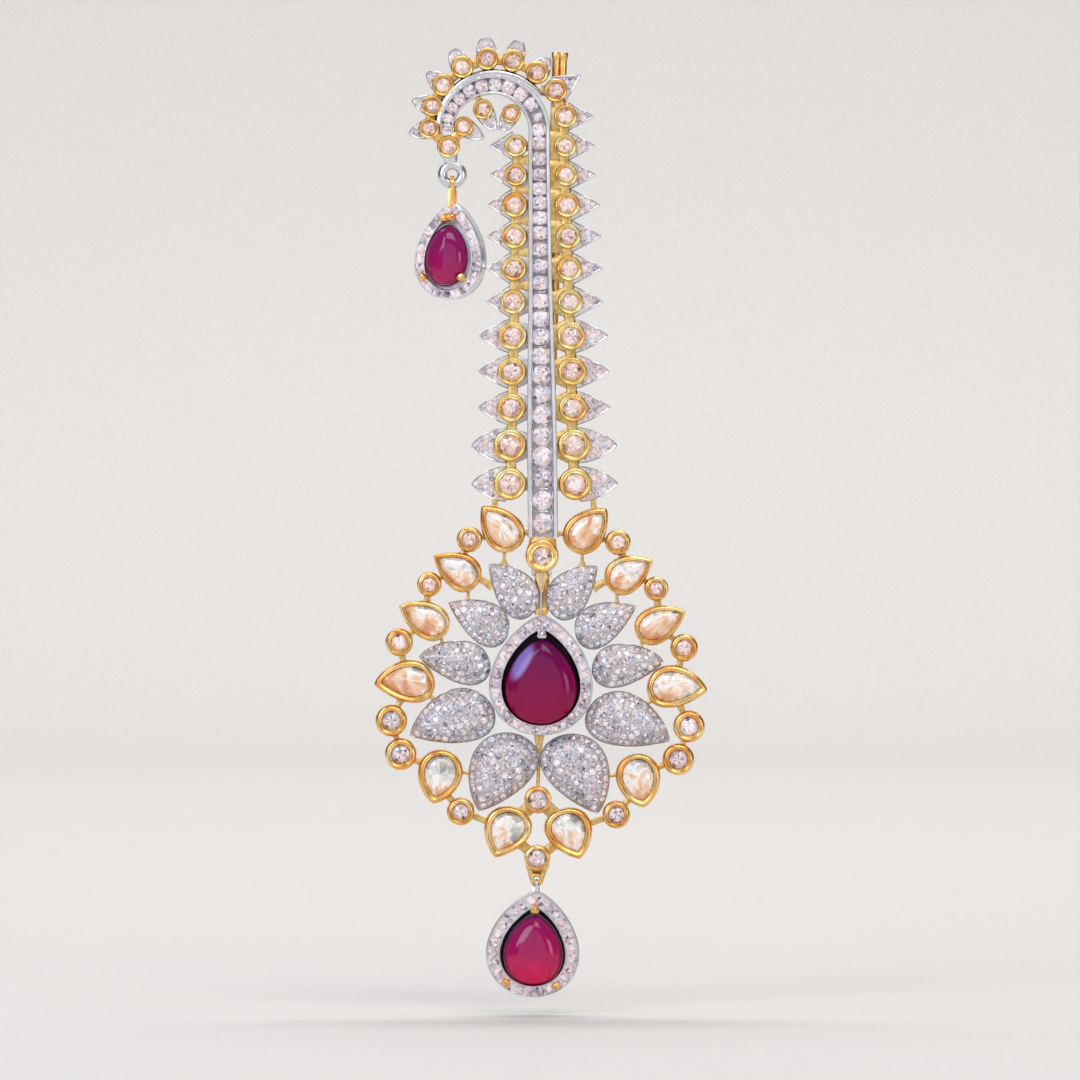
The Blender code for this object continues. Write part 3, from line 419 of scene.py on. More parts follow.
make_piece("channel_stones", channel_set, rose_diamond, faceted=True)
gaps = (stem_rows[:12] + stem_rows[1:13]) / 2
bridges = [strap((stem_middle(y) - 0.4, y), (stem_middle(y) + 0.7, y), (0.2, 0.2), 1.3, 1.95, rows=3) for y in gaps]
make_piece("channel_bridges", bridges, white_gold)

# Leaf rows beside the stem
# Each unit is a polished yellow gold collar with a round diamond, and behind it a white gold leaf set with small
# pavé stones that points away from the stem. Short gold links with a waist join each collar to the next.

LEAF_ROW_TOP, LEAF_FIRST_PITCH, LEAF_PITCH_GROWTH = 82.52, 3.78, 0.147
LEAF_GROUPS = (
    # last unit of the group, collar radius, reach on the right and left, and the leaf's outline: two powers and
    # the half width at the collar as a share of the collar's radius
    (3, 1.62, 4.15, 3.6, (1.0, 0.95, 1.3)),
    (7, 1.80, 4.6, 3.75, (1.0, 0.95, 1.3)),
    (10, 2.02, 5.2, 4.65, (1.25, 0.88, 1.2)),
    (12, 2.30, 6.0, 5.4, (1.8, 0.85, 1.1)),
)
UPPER_RIGHT_LEAVES = ((2.05, 82.55, 32.0, 1.66, 4.1), (3.44, 78.95, -1.0, 1.64, 3.95))  # x, y, aim, radius, reach
UPPER_OUTLINE = (1.0, 0.95, 1.25)
LEAF_TIP = 0.14  # half width at the tip


def collar(radius, back=0.25, rim=2.3, bore=0.64):
    """A round bezel: a straight wall, a broad rounded lip, a groove and a fine edge that is pushed over the stone."""
    wall = ((0.0, rim - 0.5), (0.04, rim - 0.26), (0.16, rim - 0.07), (0.34, rim), (0.5, rim - 0.02),
            (0.66, rim - 0.12), (0.76, rim - 0.17), (0.86, rim - 0.13), (0.94, rim - 0.18), (1.0, rim - 0.4))
    rows = [(0.0, back), (0.96, back), (1.0, back + 0.1)] + [(1 - share * (1 - bore), z) for share, z in wall]
    return turned([(share * radius, height) for share, height in rows + [(0.0, rim - 0.52)]])


def leaf_ring(radius, reach, shape, tip, inset, height, steps=22):
    """A ring round a leaf that runs out along +X. Its half width is tip + (b r - tip)(1 - s^p)^q at s of the way."""
    p, q, b = shape
    s = np.sin(np.linspace(0, np.pi / 2, steps))
    half = np.maximum(tip + (b * radius - tip) * np.clip(1 - s**p, 0, 1) ** q - inset, 0.015)
    x = 0.1 * reach + 0.5 * inset + s * (0.9 * reach - 2.1 * inset)
    ring = np.concatenate([np.stack([x, -half], -1), np.stack([x, half], -1)[::-1]])
    return np.column_stack([ring, np.full(len(ring), height)])


def leaf_plate(radius, reach, shape, tip):
    """A leaf with a raised border round a sunk floor for its stones."""
    rows = ((0.12, 0.4), (0.0, 0.55), (0.0, 1.2), (0.03, 1.4), (0.1, 1.48), (0.17, 1.44), (0.22, 1.3), (0.55, 1.36))
    return skin([leaf_ring(radius, reach, shape, tip, inset, height) for inset, height in rows])


def leaf_stones(radius, reach, shape, tip):
    """(x, y, height, radius) rows of pavé on a leaf: rows across it 0.85 mm apart, as many in each as it holds."""
    p, q, b = shape
    rows = []
    for x in np.arange(radius - 1.22, reach - 0.42, 0.75):
        s = max(0.0, (x / reach - 0.1) / 0.9)
        half = tip + (b * radius - tip) * (1 - s**p) ** q - 0.18
        count = max(1, round(2 * half / 0.82))
        size = min(0.42, half / count * 1.04)
        across = (2 * np.arange(count) + 1 - count) * half / count
        rows += [(x, y, 1.36, size) for y in across if math.hypot(x, y) > radius + 0.15]
    return np.array(rows)


def aimed(x, y, aim):
    """A function that turns points by an angle in the drawing and moves them to a place."""
    c, s = math.cos(math.radians(aim)), math.sin(math.radians(aim))
    return lambda points: np.column_stack([
        x + points[:, 0] * c - points[:, 1] * s, y + points[:, 0] * s + points[:, 1] * c, points[:, 2:]])


def cut_small():
    """A pavé stone of radius 1: a table in four, eight crown facets and a flat back."""
    angle = np.arange(8) * np.pi / 4
    points = [np.stack([r * np.cos(angle), r * np.sin(angle), np.full(8, h)], -1) for r, h in ((0.58, 0.34), (1.0, 0.0))]
    k = np.arange(8)
    crown = np.stack([k, 8 + k, 8 + (k + 1) % 8, (k + 1) % 8], -1)
    table = np.array([(16, i, i + 1, (i + 2) % 8) for i in (0, 2, 4, 6)])
    return np.concatenate(points + [[(0, 0, 0.34)]]), [np.concatenate([table, crown]), np.arange(15, 7, -1)[None]]


def grain_bead():
    """A bead of metal of radius 1, raised from the plate to hold a stone's edge."""
    angle = np.arange(6) * np.pi / 3
    rings = [np.stack([r * np.cos(angle), r * np.sin(angle), np.full(6, h)], -1)
             for r, h in ((1.0, -0.8), (1.0, 0.2), (0.7, 0.8), (0.15, 1.05))]
    points, blocks, _ = skin(rings)
    return points, blocks


def leaf_units(units, seed):
    """Collars, plates, round stones and pavé of a row, from (x, y, aim, radius, reach, shape, tip) rows."""
    gold, plates, stones, small = [], [], [], []
    for x, y, aim, radius, reach, shape, tip in units:
        put = aimed(x, y, aim)
        gold.append(moved(collar(radius), put))
        plates.append(moved(leaf_plate(radius, reach, shape, tip), put))
        stones.append((x, y, 1.86, 0.66 * radius))
        small.append(put(leaf_stones(radius, reach, shape, tip)))
    stones, small = np.array(stones), np.concatenate(small)
    rounds = [set_stones(cut_round(), stones[:, :3], stones[:, 3], seed, bright=0.6, spread=0.2)]
    return gold, plates, rounds, [set_stones(cut_small(), small[:, :3], small[:, 3], seed + 1, bright=0.58,
                                              spread=0.13, vary=0.14)]


def row_places(side):
    """The paired units from the top down: x and y of the collar's middle, with its radius, reach and shape."""
    rows = []
    y = LEAF_ROW_TOP
    for index in range(13):
        last, radius, right, left, shape = next(row for row in LEAF_GROUPS if index <= row[0])
        if index >= 2:
            share = (index - 2) / 10
            middle, offset = -0.03 + 0.25 * share, 3.42 + 1.15 * share
            to_rail = offset + side * (middle - stem_middle(y)) - stem_half(y) - radius
            x = middle + side * (offset + max(0.0, 0.12 - to_rail))
            rows.append((x, y, 0.0 if side > 0 else 180.0, radius, right if side > 0 else left, shape, LEAF_TIP))
        y -= LEAF_FIRST_PITCH + LEAF_PITCH_GROWTH * index
    return rows


for name, side, seed in (("right", 1, 21), ("left", -1, 31)):
    units = row_places(side)
    if side > 0:
        units = [(x, y, aim, r, reach, UPPER_OUTLINE, LEAF_TIP) for x, y, aim, r, reach in UPPER_RIGHT_LEAVES] + units
    gold, plates, stones, small = leaf_units(units, seed)
    links = []
    for above, below in zip(units, units[1:]):
        toward_rail = np.array((-0.16 * side, 0.0))
        links.append(strap(above[:2] + toward_rail, below[:2] + toward_rail, (1.4, 1.15, 0.78, 0.72, 0.78, 1.15, 1.4),
                           0.55, 1.5, rows=15))
        if side < 0 and above[1] > units[5][1]:
            # On the upper left a small gold gusset fills the corner between the link and the rail.
            x, y = (np.array(above[:2]) + below[:2]) / 2
            rail = float(stem_middle(y) - stem_half(y) + 0.05)
            links.append(strap((x + 0.2, y), (rail, y), (0.5, 0.62, 0.85), 0.58, 1.46))
    pitches = -np.gradient([unit[1] for unit in units])
    webs = []
    for index, (x, y, _, radius, *_) in enumerate(units):
        # A web as wide as the leaf carries the collar, and leaves a hole at the rail before the next one, but for the
        # six on the upper right, which meet. It is gold on the right and white gold on the left.
        rail = float(stem_middle(y) + side * (stem_half(y) - 0.05)) if y < 76 else x - 2.0
        half, last = min(0.5 * pitches[index], 1.25 * radius), 0.66
        if index in (0, len(units) - 1):
            half = 0.6 * radius
        elif side < 0 and index < 5:
            last = 0.88
        elif side > 0 and index < 6:
            half, last = 0.53 * pitches[index], 1.0
        webs.append(strap((x + side * 0.4, y), (rail, y), (half, half, (half + last * half) / 2, last * half), 0.6,
                          1.4, rows=9))
    make_piece(f"leaf_collars_{name}", gold, light_gold, nodes=(f"leaf_row_{name}",))
    make_piece(f"leaf_links_{name}", links, matt_gold)
    make_piece(f"leaf_webs_{name}", webs, matt_gold if side > 0 else graved_plate)
    make_piece(f"leaf_plates_{name}", plates, white_gold)
    make_piece(f"leaf_brilliants_{name}", stones, peach_diamond, faceted=True)
    make_piece(f"leaf_pave_{name}", small, rose_diamond, faceted=True)

# Leaves round the crook
# The same units fan out round the crook, joined to the channel by a curved white gold web, and end at a last collar.
# A rhodium plated ring, cast as one with it, is the eye that carries the upper drop.

CROOK_LEAVES = (
    # turn round the crook's centre, distance, aim, collar radius, reach, half width of the blunt tip
    (53.0, 10.35, 50.0, 1.6, 2.75, 0.1),
    (74.0, 10.3, 73.0, 1.6, 2.95, 0.6),
    (94.5, 10.2, 94.5, 1.6, 2.95, 0.75),
    (115.5, 9.98, 118.0, 1.6, 2.85, 0.45),
    (137.0, 9.5, 141.0, 1.58, 2.95, 0.15),
    (157.0, 9.15, 165.0, 1.5, 3.0, 0.15),
    (177.0, 8.9, 195.0, 1.48, 2.95, 0.15),
    (170.0, 4.15, -31.0, 1.4, 3.3, 0.1),
)
END_COLLAR, HOOK_EYE = (-12.96, 74.68, 1.62), (-12.43, 70.8, 1.36, 0.68)


def ring_wire(x, y, radius, wire, height, steps=48):
    """A round wire bent to a ring: a circle of the wire's radius carried round a circle in the drawing."""
    turn = np.arange(steps) * 360.0 / steps
    angle = np.radians(turn)
    path = np.stack([x + radius * np.cos(angle), y + radius * np.sin(angle)], -1)
    around = np.arange(14) * 2 * np.pi / 14
    section = np.stack([wire * np.cos(around), height + wire * np.sin(around)], -1)
    return skin(carry(path, turn + 90, section), closed=True)


def placed(rows):
    """Units round the crook as rows that leaf_units takes."""
    return [(*crook_point(turn, distance), aim, radius, reach, (1.7, 0.75, 0.98), tip)
            for turn, distance, aim, radius, reach, tip in rows]


units = placed(CROOK_LEAVES)
gold, plates, stones, small = leaf_units(units, 41)
web_turn = np.linspace(36, 172, 40)
near = CROOK_RADIUS + crook_half(web_turn) + 0.02
far = 8.9 - 0.9 * (web_turn / 180) ** 3
web = np.stack([np.concatenate([crook_point(web_turn, reach), np.full((40, 1), height)], -1)
                for reach, height in ((far, 0.55), (near, 0.55), (near, 2.2), ((2 * near + far) / 3, 2.2),
                                      ((near + 2 * far) / 3, 2.1), (far, 1.5))], 1)
plates.append(skin(web[:, ::-1]))
links = [strap(above[:2], below[:2], (0.9, 0.7, 0.7, 0.9), 0.55, 1.5, rows=9)
         for above, below in zip(units[:6], units[1:7])]
end = aimed(*END_COLLAR[:2], 0.0)
gold.append(moved(collar(END_COLLAR[2]), end))
for unit in units[-2:]:
    gold.append(strap(unit[:2], END_COLLAR[:2], (0.9, 0.75, 0.9), 0.55, 1.9))
stones.append(set_stones(cut_round(), [(*END_COLLAR[:2], 1.86)], 0.66 * END_COLLAR[2], 43, bright=0.6, spread=0.2))
plates.append(ring_wire(*HOOK_EYE, 1.2))
plates.append(strap((-12.43, 71.9), (-12.85, 73.8), (0.8, 0.95, 1.3), 0.65, 1.85))
make_piece("crook_collars", gold, light_gold, nodes=("leaf_row_crook",))
make_piece("crook_links", links, matt_gold)
make_piece("crook_plates", plates, white_gold)
make_piece("crook_brilliants", stones, peach_diamond, faceted=True)
make_piece("crook_pave", small, rose_diamond, faceted=True)

# Two leaves inside the crook
# They stand on the channel's inner rail, point down to each other and meet tip to tip over a small white web.

INNER_LEAVES = ((113.7, 3.42, -61.0, 1.42, 3.3, 0.35), (44.4, 3.6, -118.0, 1.34, 2.7, 0.3))

units = placed(INNER_LEAVES)
gold, plates, stones, small = leaf_units(units, 51)
gold.append(strap(units[0][:2], crook_point(113.7, CROOK_RADIUS - 1.3), (0.5, 0.5), 0.55, 1.35))
tips = [np.array(unit[:2]) + 0.8 * unit[4] * np.array((math.cos(math.radians(unit[2])),
                                                       math.sin(math.radians(unit[2])))) for unit in units]
plates.append(strap(*tips, (0.45, 0.45), 0.46, 1.1))
make_piece("inner_collars", gold, light_gold, nodes=("leaf_row_inner",))
make_piece("inner_plates", plates, white_gold)
make_piece("inner_brilliants", stones, peach_diamond, faceted=True)
make_piece("inner_pave", small, rose_diamond, faceted=True)

# Foot collar
# A larger gold collar ends the stem over the flower. A pin and two small feet below it go down between the first
# petals to the centre.

FLOWER_TURN = -1.1  # the flower stands a little turned, clockwise as seen from the front
FOOT_COLLAR = (-0.19, 17.37, 2.35)

foot_x, foot_y, foot_radius = FOOT_COLLAR
foot = [moved(collar(foot_radius, 0.0, 2.8, bore=0.54), aimed(foot_x, foot_y, 0.0)),
        strap((foot_x, foot_y + 0.8), (foot_x + 0.1, 19.95), (2.2, 1.95, 1.85), 0.06, 2.3),
        strap((foot_x, foot_y - 1.9), (foot_x, 12.3), (1.15, 1.0, 0.6, 0.25), 0.9, 1.5),
        strap((foot_x, 9.9), (foot_x, 9.1), (1.0, 0.85), 0.5, 1.4)]
pin = [strap((foot_x, foot_y - 1.9), (foot_x, 8.8), (0.2, 0.15, 0.14, 0.2), 1.2, 1.85),
       *[strap((foot_x + side * 1.05, foot_y - 1.7), (foot_x + side * 1.25, foot_y - 2.9), (0.42, 0.3, 0.12), 1.0, 1.9)
         for side in (-1, 1)]]
make_piece("foot_collar", foot, yellow_gold, nodes=("foot_bezel",), turn=FLOWER_TURN)
make_piece("foot_pin", pin, white_gold, turn=FLOWER_TURN)
make_piece("foot_stone", [set_stones(cut_round(), [(foot_x, foot_y, 2.34)], 0.56 * foot_radius, 61, bright=0.5)],
           peach_diamond, turn=FLOWER_TURN, faceted=True)

# Petals
# Ten petals are pressed to a dome from white gold sheet and covered with pavé: rows of small stones, each held by
# beads raised from the plate. A thin bright edge runs round each petal.

PETALS = (
    # name, round end x y, tip x y, width, sideways bend of the tip, sharpness, height of the dome
    ("a", -0.65, 10.31, -8.64, 13.46, 6.4, 2.77, 0.70, 2.7),
    ("b", -4.55, 6.95, -13.57, 8.05, 6.3, 2.57, 0.92, 2.7),
    ("c", -7.37, 3.1, -15.62, -0.58, 6.85, 3.66, 0.54, 2.8),
    ("d", -7.9, -2.4, -14.82, -10.93, 8.75, 4.25, 0.65, 3.0),
    ("e", -4.0, -7.45, -5.32, -18.92, 9.4, 2.95, 0.67, 3.2),
)
PETAL_BACK, PETAL_EDGE, PAVE_PITCH = 0.5, 1.3, 1.04


def drop_rings(drop, rows, steps=96):
    """Rings round a drop shape, one for each (inset, height) row.

    With t going once round from the tip, a point lies (1 + cos t) / 2 of the way from the round end to the tip, and
    its half width goes as sin t times a power of |sin(t / 2)|. The tip bends sideways with the square of the way.
    An inset shortens the drop by twice itself, 0.8 of it at the round end, and takes itself off the half width.
    """
    base_x, base_y, tip_x, tip_y, width, bend, sharpness = drop
    inset, height = np.asarray(rows, float).T[:, :, None]
    axis = np.array((tip_x - base_x, tip_y - base_y))
    length = np.hypot(*axis)
    along = axis / length
    across = np.array((along[1], -along[0]))
    t = -2 * np.pi * np.arange(steps) / steps
    share = (1 + np.cos(t)) / 2
    widest = 2 * math.atan(math.sqrt(1 + sharpness))
    swell = np.sin(t) * np.abs(np.sin(t / 2)) ** sharpness / (math.sin(widest) * math.sin(widest / 2) ** sharpness)
    forward = 0.8 * inset + share * (length - 2 * inset)
    sideways = (width / 2 - inset) * swell + bend * share**2
    flat = np.array((base_x, base_y)) + forward[..., None] * along + sideways[..., None] * across
    return np.concatenate([flat, np.broadcast_to(height, forward.shape)[..., None]], -1)


def edge_distance(places, outline):
    """How far places lie inside a closed outline: the least distance to its sides, below zero outside it."""
    start, end = outline, np.roll(outline, -1, 0)
    side = end - start
    to_start = places[:, None] - start
    share = np.clip((to_start * side).sum(-1) / (side * side).sum(-1), 0, 1)
    distance = np.linalg.norm(to_start - share[..., None] * side, axis=-1).min(1)
    x, y = places.T[:, :, None]
    spans = (start[:, 1] > y) != (end[:, 1] > y)
    with np.errstate(divide="ignore", invalid="ignore"):
        cross = start[:, 0] + (y - start[:, 1]) * side[:, 0] / side[:, 1]
    inside = (spans & (x < cross)).sum(1) % 2 == 1
    return np.where(inside, distance, -distance)


def dome_height(places, outline, top, reach):
    """Height of a petal: with d the distance inwards from its edge over the reach, it rises as 1 - (1 - d)^2."""
    inset = edge_distance(places, outline)
    return PETAL_EDGE + (top - PETAL_EDGE) * (1 - (1 - np.clip(inset / reach, 0, 1)) ** 2)


def packed(places, apart):
    """The places that are kept in turn, each only if it stands clear of all that were kept before it."""
    kept = np.empty((0, 2))
    for place in places:
        if not len(kept) or (((kept - place) ** 2).sum(1) > apart**2).all():
            kept = np.concatenate([kept, place[None]])
    return kept


small_stone, bead = cut_small(), grain_bead()
for number, (name, *drop, top) in enumerate(PETALS):
    half = drop[4] / 2
    outline = drop_rings(drop, [(0.0, 0.0)])[0, :, :2]
    reach = min(half, 3.0)
    rows = [(0.3, PETAL_BACK), (0.06, 0.62), (0.0, 0.8), (0.0, 1.22), (0.03, 1.36), (0.09, 1.42), (0.14, 1.4),
            (0.19, 1.34)]
    rings = drop_rings(drop, rows + [(d, 0.0) for d in np.linspace(0.26, 0.95, 10) ** 1.2 * half])
    for ring in rings[8:]:
        ring[:, 2] = dome_height(ring[:, :2], outline, top, reach)
    border = [skin(rings[:8])]
    plate = skin(np.concatenate([rings[6:7] - (0, 0, 0.1), rings[8:]]))
    # The first row of stones follows the edge, and the rest fill in from it towards the middle.
    edge_row = drop_rings(drop, [(0.6, 0.0)], steps=900)[0, :, :2]
    ahead = np.concatenate([[0], np.cumsum(np.linalg.norm(np.diff(edge_row, axis=0), axis=1))])
    count = int(ahead[-1] / 0.98)
    where = (np.arange(count) + 0.5) * ahead[-1] / count
    first = np.stack([np.interp(where, ahead, edge_row[:, k]) for k in (0, 1)], -1)
    i, j = np.meshgrid(np.arange(-60, 61), np.arange(-60, 61))
    fine = np.stack([i, j], -1).reshape(-1, 2) * 0.17 + outline.mean(0)
    depth = edge_distance(fine, outline)
    fine, depth = fine[depth > 0.55], depth[depth > 0.55]
    spots = packed(np.concatenate([first, fine[np.argsort(depth, kind="stable")]]), 0.93)
    between = fine[np.linalg.norm(fine[:, None] - spots, axis=-1).min(1) > 0.5]
    beads = packed(between, 0.42)
    step = 0.02
    slope = np.stack([(dome_height(spots + shift, outline, top, reach) - dome_height(
        spots - shift, outline, top, reach)) / (2 * step) for shift in ((step, 0.0), (0.0, step))], -1)
    normals = np.column_stack([-slope, np.ones(len(slope))])
    normals /= np.linalg.norm(normals, axis=1, keepdims=True)
    spots = np.column_stack([spots, dome_height(spots, outline, top, reach)])
    beads = np.column_stack([beads, dome_height(beads, outline, top, reach) + 0.06])
    for side_name, flip in (("left", lambda patch: patch), ("right", mirrored)):
        seed = 100 + 10 * number + (side_name == "right")
        stones = set_stones(small_stone, spots, 0.51, seed, normals, bright=0.58, spread=0.2, vary=0.13)
        make_piece(f"petal_edge_{name}_{side_name}", [flip(patch) for patch in border], white_gold,
                   nodes=(f"petal_{name}_{side_name}",), turn=FLOWER_TURN)
        make_piece(f"petal_plate_{name}_{side_name}", [flip(plate), flip(set_stones(bead, beads, 0.13, seed))],
                   graved_plate, turn=FLOWER_TURN)
        make_piece(f"petal_pave_{name}_{side_name}", [flip(stones)], lilac_diamond, turn=FLOWER_TURN,
                   faceted=True)

# Outer ring of bezels
# Yellow gold cups for the pears and rounds, each with a thick rounded lip, soldered to one another by short bars and
# to the petals by struts. The lowest cup carries a V of gold with the small eye of the lower drop.

PEARS = (
    # name, round end x y, tip x y, width, sideways bend, sharpness
    ("1", -3.6, 18.35, -8.75, 24.2, 5.65, 0.0, 0.65),
    ("2", -8.9, 13.5, -15.55, 16.9, 5.35, 0.3, 0.84),
    ("3", -13.0, 6.95, -20.4, 9.05, 5.3, 1.0, 0.67),
    ("4", -15.1, 0.4, -22.62, -2.8, 6.35, 1.85, 0.61),
    ("5", -13.2, -10.1, -14.75, -17.6, 6.3, 0.0, 0.43),
    ("6", -3.36, -17.9, -5.24, -25.15, 6.65, 0.7, 0.61),
)
ROUNDS = (
    # name, x, y, radius
    ("1", -10.4, 19.5, 1.82),
    ("2", -15.9, 13.1, 1.75),
    ("3", -19.95, 4.9, 1.96),
    ("4", -20.85, -6.1, 2.24),
    ("5", -19.45, -10.75, 2.24),
    ("6", -10.9, -18.65, 1.96),
)
MIDDLE_ROUNDS = (("7", -0.12, -16.8, 1.95), ("8", -0.05, -24.95, 1.85))
GALLERY_BARS = (
    # from x y, to x y, half width at the ends and at the waist, bottom and top height, on the left half
    (-4.6, 20.55, -1.9, 20.55, 0.55, 0.28, 0.3, 1.1),
    (-7.1, 22.6, -6.75, 26.6, 0.55, 0.4, 0.3, 1.1),
    (-7.0, 20.0, -10.4, 19.5, 0.6, 0.38, 0.3, 1.2),
    (-5.42, 18.6, -5.5, 15.9, 0.7, 0.22, 0.3, 1.1),
    (-10.4, 19.5, -11.9, 15.5, 0.8, 0.55, 0.3, 1.2),
    (-9.9, 14.5, -7.0, 13.0, 0.8, 0.5, 0.3, 1.2),
    (-10.35, 13.5, -10.5, 10.3, 0.7, 0.22, 0.3, 1.1),
    (-12.9, 15.0, -15.9, 13.1, 0.7, 0.4, 0.3, 1.2),
    (-15.9, 13.1, -16.4, 8.9, 0.8, 0.5, 0.3, 1.2),
    (-14.3, 6.9, -13.7, 3.4, 0.7, 0.25, 0.3, 1.1),
    (-17.0, 7.2, -19.95, 4.9, 0.7, 0.4, 0.3, 1.2),
    (-19.95, 4.9, -19.0, 0.6, 0.8, 0.45, 0.3, 1.2),
    (-16.3, -2.0, -12.9, -4.6, 0.6, 0.28, 0.3, 1.1),
    (-19.3, -2.6, -20.85, -6.1, 0.8, 0.4, 0.3, 1.2),
    (-20.85, -6.1, -19.45, -10.75, 0.8, 0.4, 0.3, 1.2),
    (-19.45, -10.75, -15.3, -12.5, 0.8, 0.45, 0.3, 1.2),
    (-11.9, -13.0, -8.2, -13.5, 0.5, 0.25, 0.3, 1.1),
    (-13.5, -15.6, -10.9, -18.65, 0.8, 0.45, 0.3, 1.2),
    (-10.9, -18.65, -5.6, -20.6, 0.7, 0.45, 0.06, 0.42),
    (-3.6, -20.0, 0.0, -16.8, 1.1, 0.95, 0.3, 1.2),
    (-3.3, -22.4, 0.0, -24.95, 0.9, 0.7, 0.3, 1.2),
)
GALLERY_FLOOR = 1.1
PEAR_WALL, ROUND_WALL, MIDDLE_WALL = 0.155, 0.42, 0.32  # of a pear's width, and of a round's radius
LOW_EYE = (-0.62, -27.95, 0.68, 0.3)

# A cup's wall, as share of its thickness and height: it flares to a rounded lip, dips, and rises to a fine edge that
# is pushed over the stone.
cup_rows = ((0.06, 0.0), (0.0, 0.08), (0.0, 1.7), (0.05, 2.05), (0.16, 2.36), (0.32, 2.54), (0.48, 2.58),
            (0.62, 2.5), (0.72, 2.44), (0.82, 2.46), (0.9, 2.4), (0.97, 2.2), (1.0, 2.0), (1.0, GALLERY_FLOOR))
gallery, bars = [], []
for side in (1, -1):
    flip = mirrored if side < 0 else lambda patch: patch
    for name, *drop in PEARS:
        wall = PEAR_WALL * drop[4]
        gallery.append(flip(skin(drop_rings(drop, [(share * wall, height) for share, height in cup_rows]))))
    for name, x, y, radius in ROUNDS:
        rows = [(radius * (1 - ROUND_WALL * share), height) for share, height in cup_rows]
        gallery.append(flip(turned([(0.0, 0.0)] + rows + [(0.0, GALLERY_FLOOR)], x, y)))
    for x0, y0, x1, y1, wide, waist, low, high in GALLERY_BARS:
        bars.append(flip(strap((x0, y0), (x1, y1), (wide, waist, waist, wide), low, high)))
for name, x, y, radius in MIDDLE_ROUNDS:
    rows = [(radius * (1 - MIDDLE_WALL * share), height) for share, height in cup_rows]
    gallery.append(turned([(0.0, 0.0)] + rows + [(0.0, GALLERY_FLOOR)], x, y))
bars.append(strap((-0.12, -15.5), (-0.12, -7.6), (0.3, 0.25, 0.35, 0.75), 0.06, 1.0))
eye_turn = math.radians(-FLOWER_TURN)
eye_x = LOW_EYE[0] * math.cos(eye_turn) - LOW_EYE[1] * math.sin(eye_turn)
eye_y = LOW_EYE[0] * math.sin(eye_turn) + LOW_EYE[1] * math.cos(eye_turn)
gallery.append(ring_wire(eye_x, eye_y, *LOW_EYE[2:], 1.2, steps=32))
for side in (-1, 1):
    bars.append(strap((side * 1.25, -25.6), (eye_x + side * 0.7, eye_y), (0.5, 0.3), 0.85, 1.6))
bars.append(strap((0.0, -25.6), (eye_x, eye_y + 0.35), (1.3, 0.5), 0.3, 0.75))
make_piece("gallery_cups", gallery, yellow_gold, nodes=("outer_gallery",), turn=FLOWER_TURN)
make_piece("gallery_bars", bars, matt_gold, turn=FLOWER_TURN)

# Polki
# Uncut flat diamonds lie on foil in the pear cups: milky, with a soft silver shade painted on one side and a peach
# reflection of the gold painted on the other. A few broad facets run round a flat top.

polki, tree, place = blank_material("polki_diamond_on_foil")
tone = add_node(tree, "ShaderNodeAttribute", {"attribute_name": "tone"}).outputs["Fac"]
slant = add_node(tree, "ShaderNodeMapping", {"Rotation": (0.0, 0.6, 0.0), "Scale": (1.0, 1.0, 0.45)},
                 {"Vector": place})
foil = add_node(tree, "ShaderNodeTexNoise", {"Scale": 480.0, "Detail": 1.2, "Distortion": 0.7}, {"Vector": slant})
spread = add_node(tree, "ShaderNodeMath", {"operation": "MULTIPLY_ADD", 1: 1.5, 2: -0.75}, {0: foil})
tone = add_node(tree, "ShaderNodeMath", {"operation": "ADD"}, {0: tone, 1: spread})
colour = add_node(tree, "ShaderNodeValToRGB", {"stops": (
    (0.0, "#D4905E"), (0.25, "#EABE96"), (0.42, "#F2DCC4"), (0.55, "#FBF8F2"), (0.72, "#D6D4CC"),
    (1.0, "#8E8A80"))}, {"Fac": tone})
stone = add_node(tree, "ShaderNodeBsdfPrincipled", {"Roughness": 0.12, "IOR": 1.9, "Coat Weight": 0.4,
                                                    "Coat Roughness": 0.05}, {"Base Color": colour})
add_node(tree, "ShaderNodeOutputMaterial", links={"Surface": stone})


def toned(patch, way, low, high):
    """A patch whose faces run from one tone to another along a direction across it."""
    points, blocks, tones = patch
    reach = points[:, :2] @ np.array(way)
    middles = np.concatenate([reach[block].mean(1) for block in blocks])
    share = (middles - middles.min()) / np.ptp(middles)
    return points, blocks, low + (high - low) * share


for number, (name, *drop) in enumerate(PEARS):
    inset = PEAR_WALL * drop[4] - 0.05
    rows = ((inset + 0.1, 1.2), (inset, 1.9), (inset + 0.05, 2.12), (inset + 0.55, 2.42), (inset + 1.1, 2.6))
    patch = skin(drop_rings(drop, rows, steps=18))
    for side_name, flip, way in (("left", lambda patch: patch, (0.5, 0.8)), ("right", mirrored, (0.4, 0.85))):
        chance = np.random.default_rng(400 + 2 * number + (side_name == "right"))
        # Painted light: each stone's faces run from the peach painted reflection to the grey painted shade along a
        # direction, greyer in the lower pairs.
        points, blocks, tones = toned(flip(patch), way, *((0.1, 0.72) if number < 4 else (0.3, 0.95)))
        cut = (points, blocks, tones + chance.normal(0, 0.09, len(tones)))
        make_piece(f"polki_cut_{name}_{side_name}", [cut], polki, nodes=(f"polki_{name}_{side_name}",),
                   turn=FLOWER_TURN, faceted=True)

# Round diamonds of the ring
# Fourteen round brilliants in the round cups, their tables just under the lip.

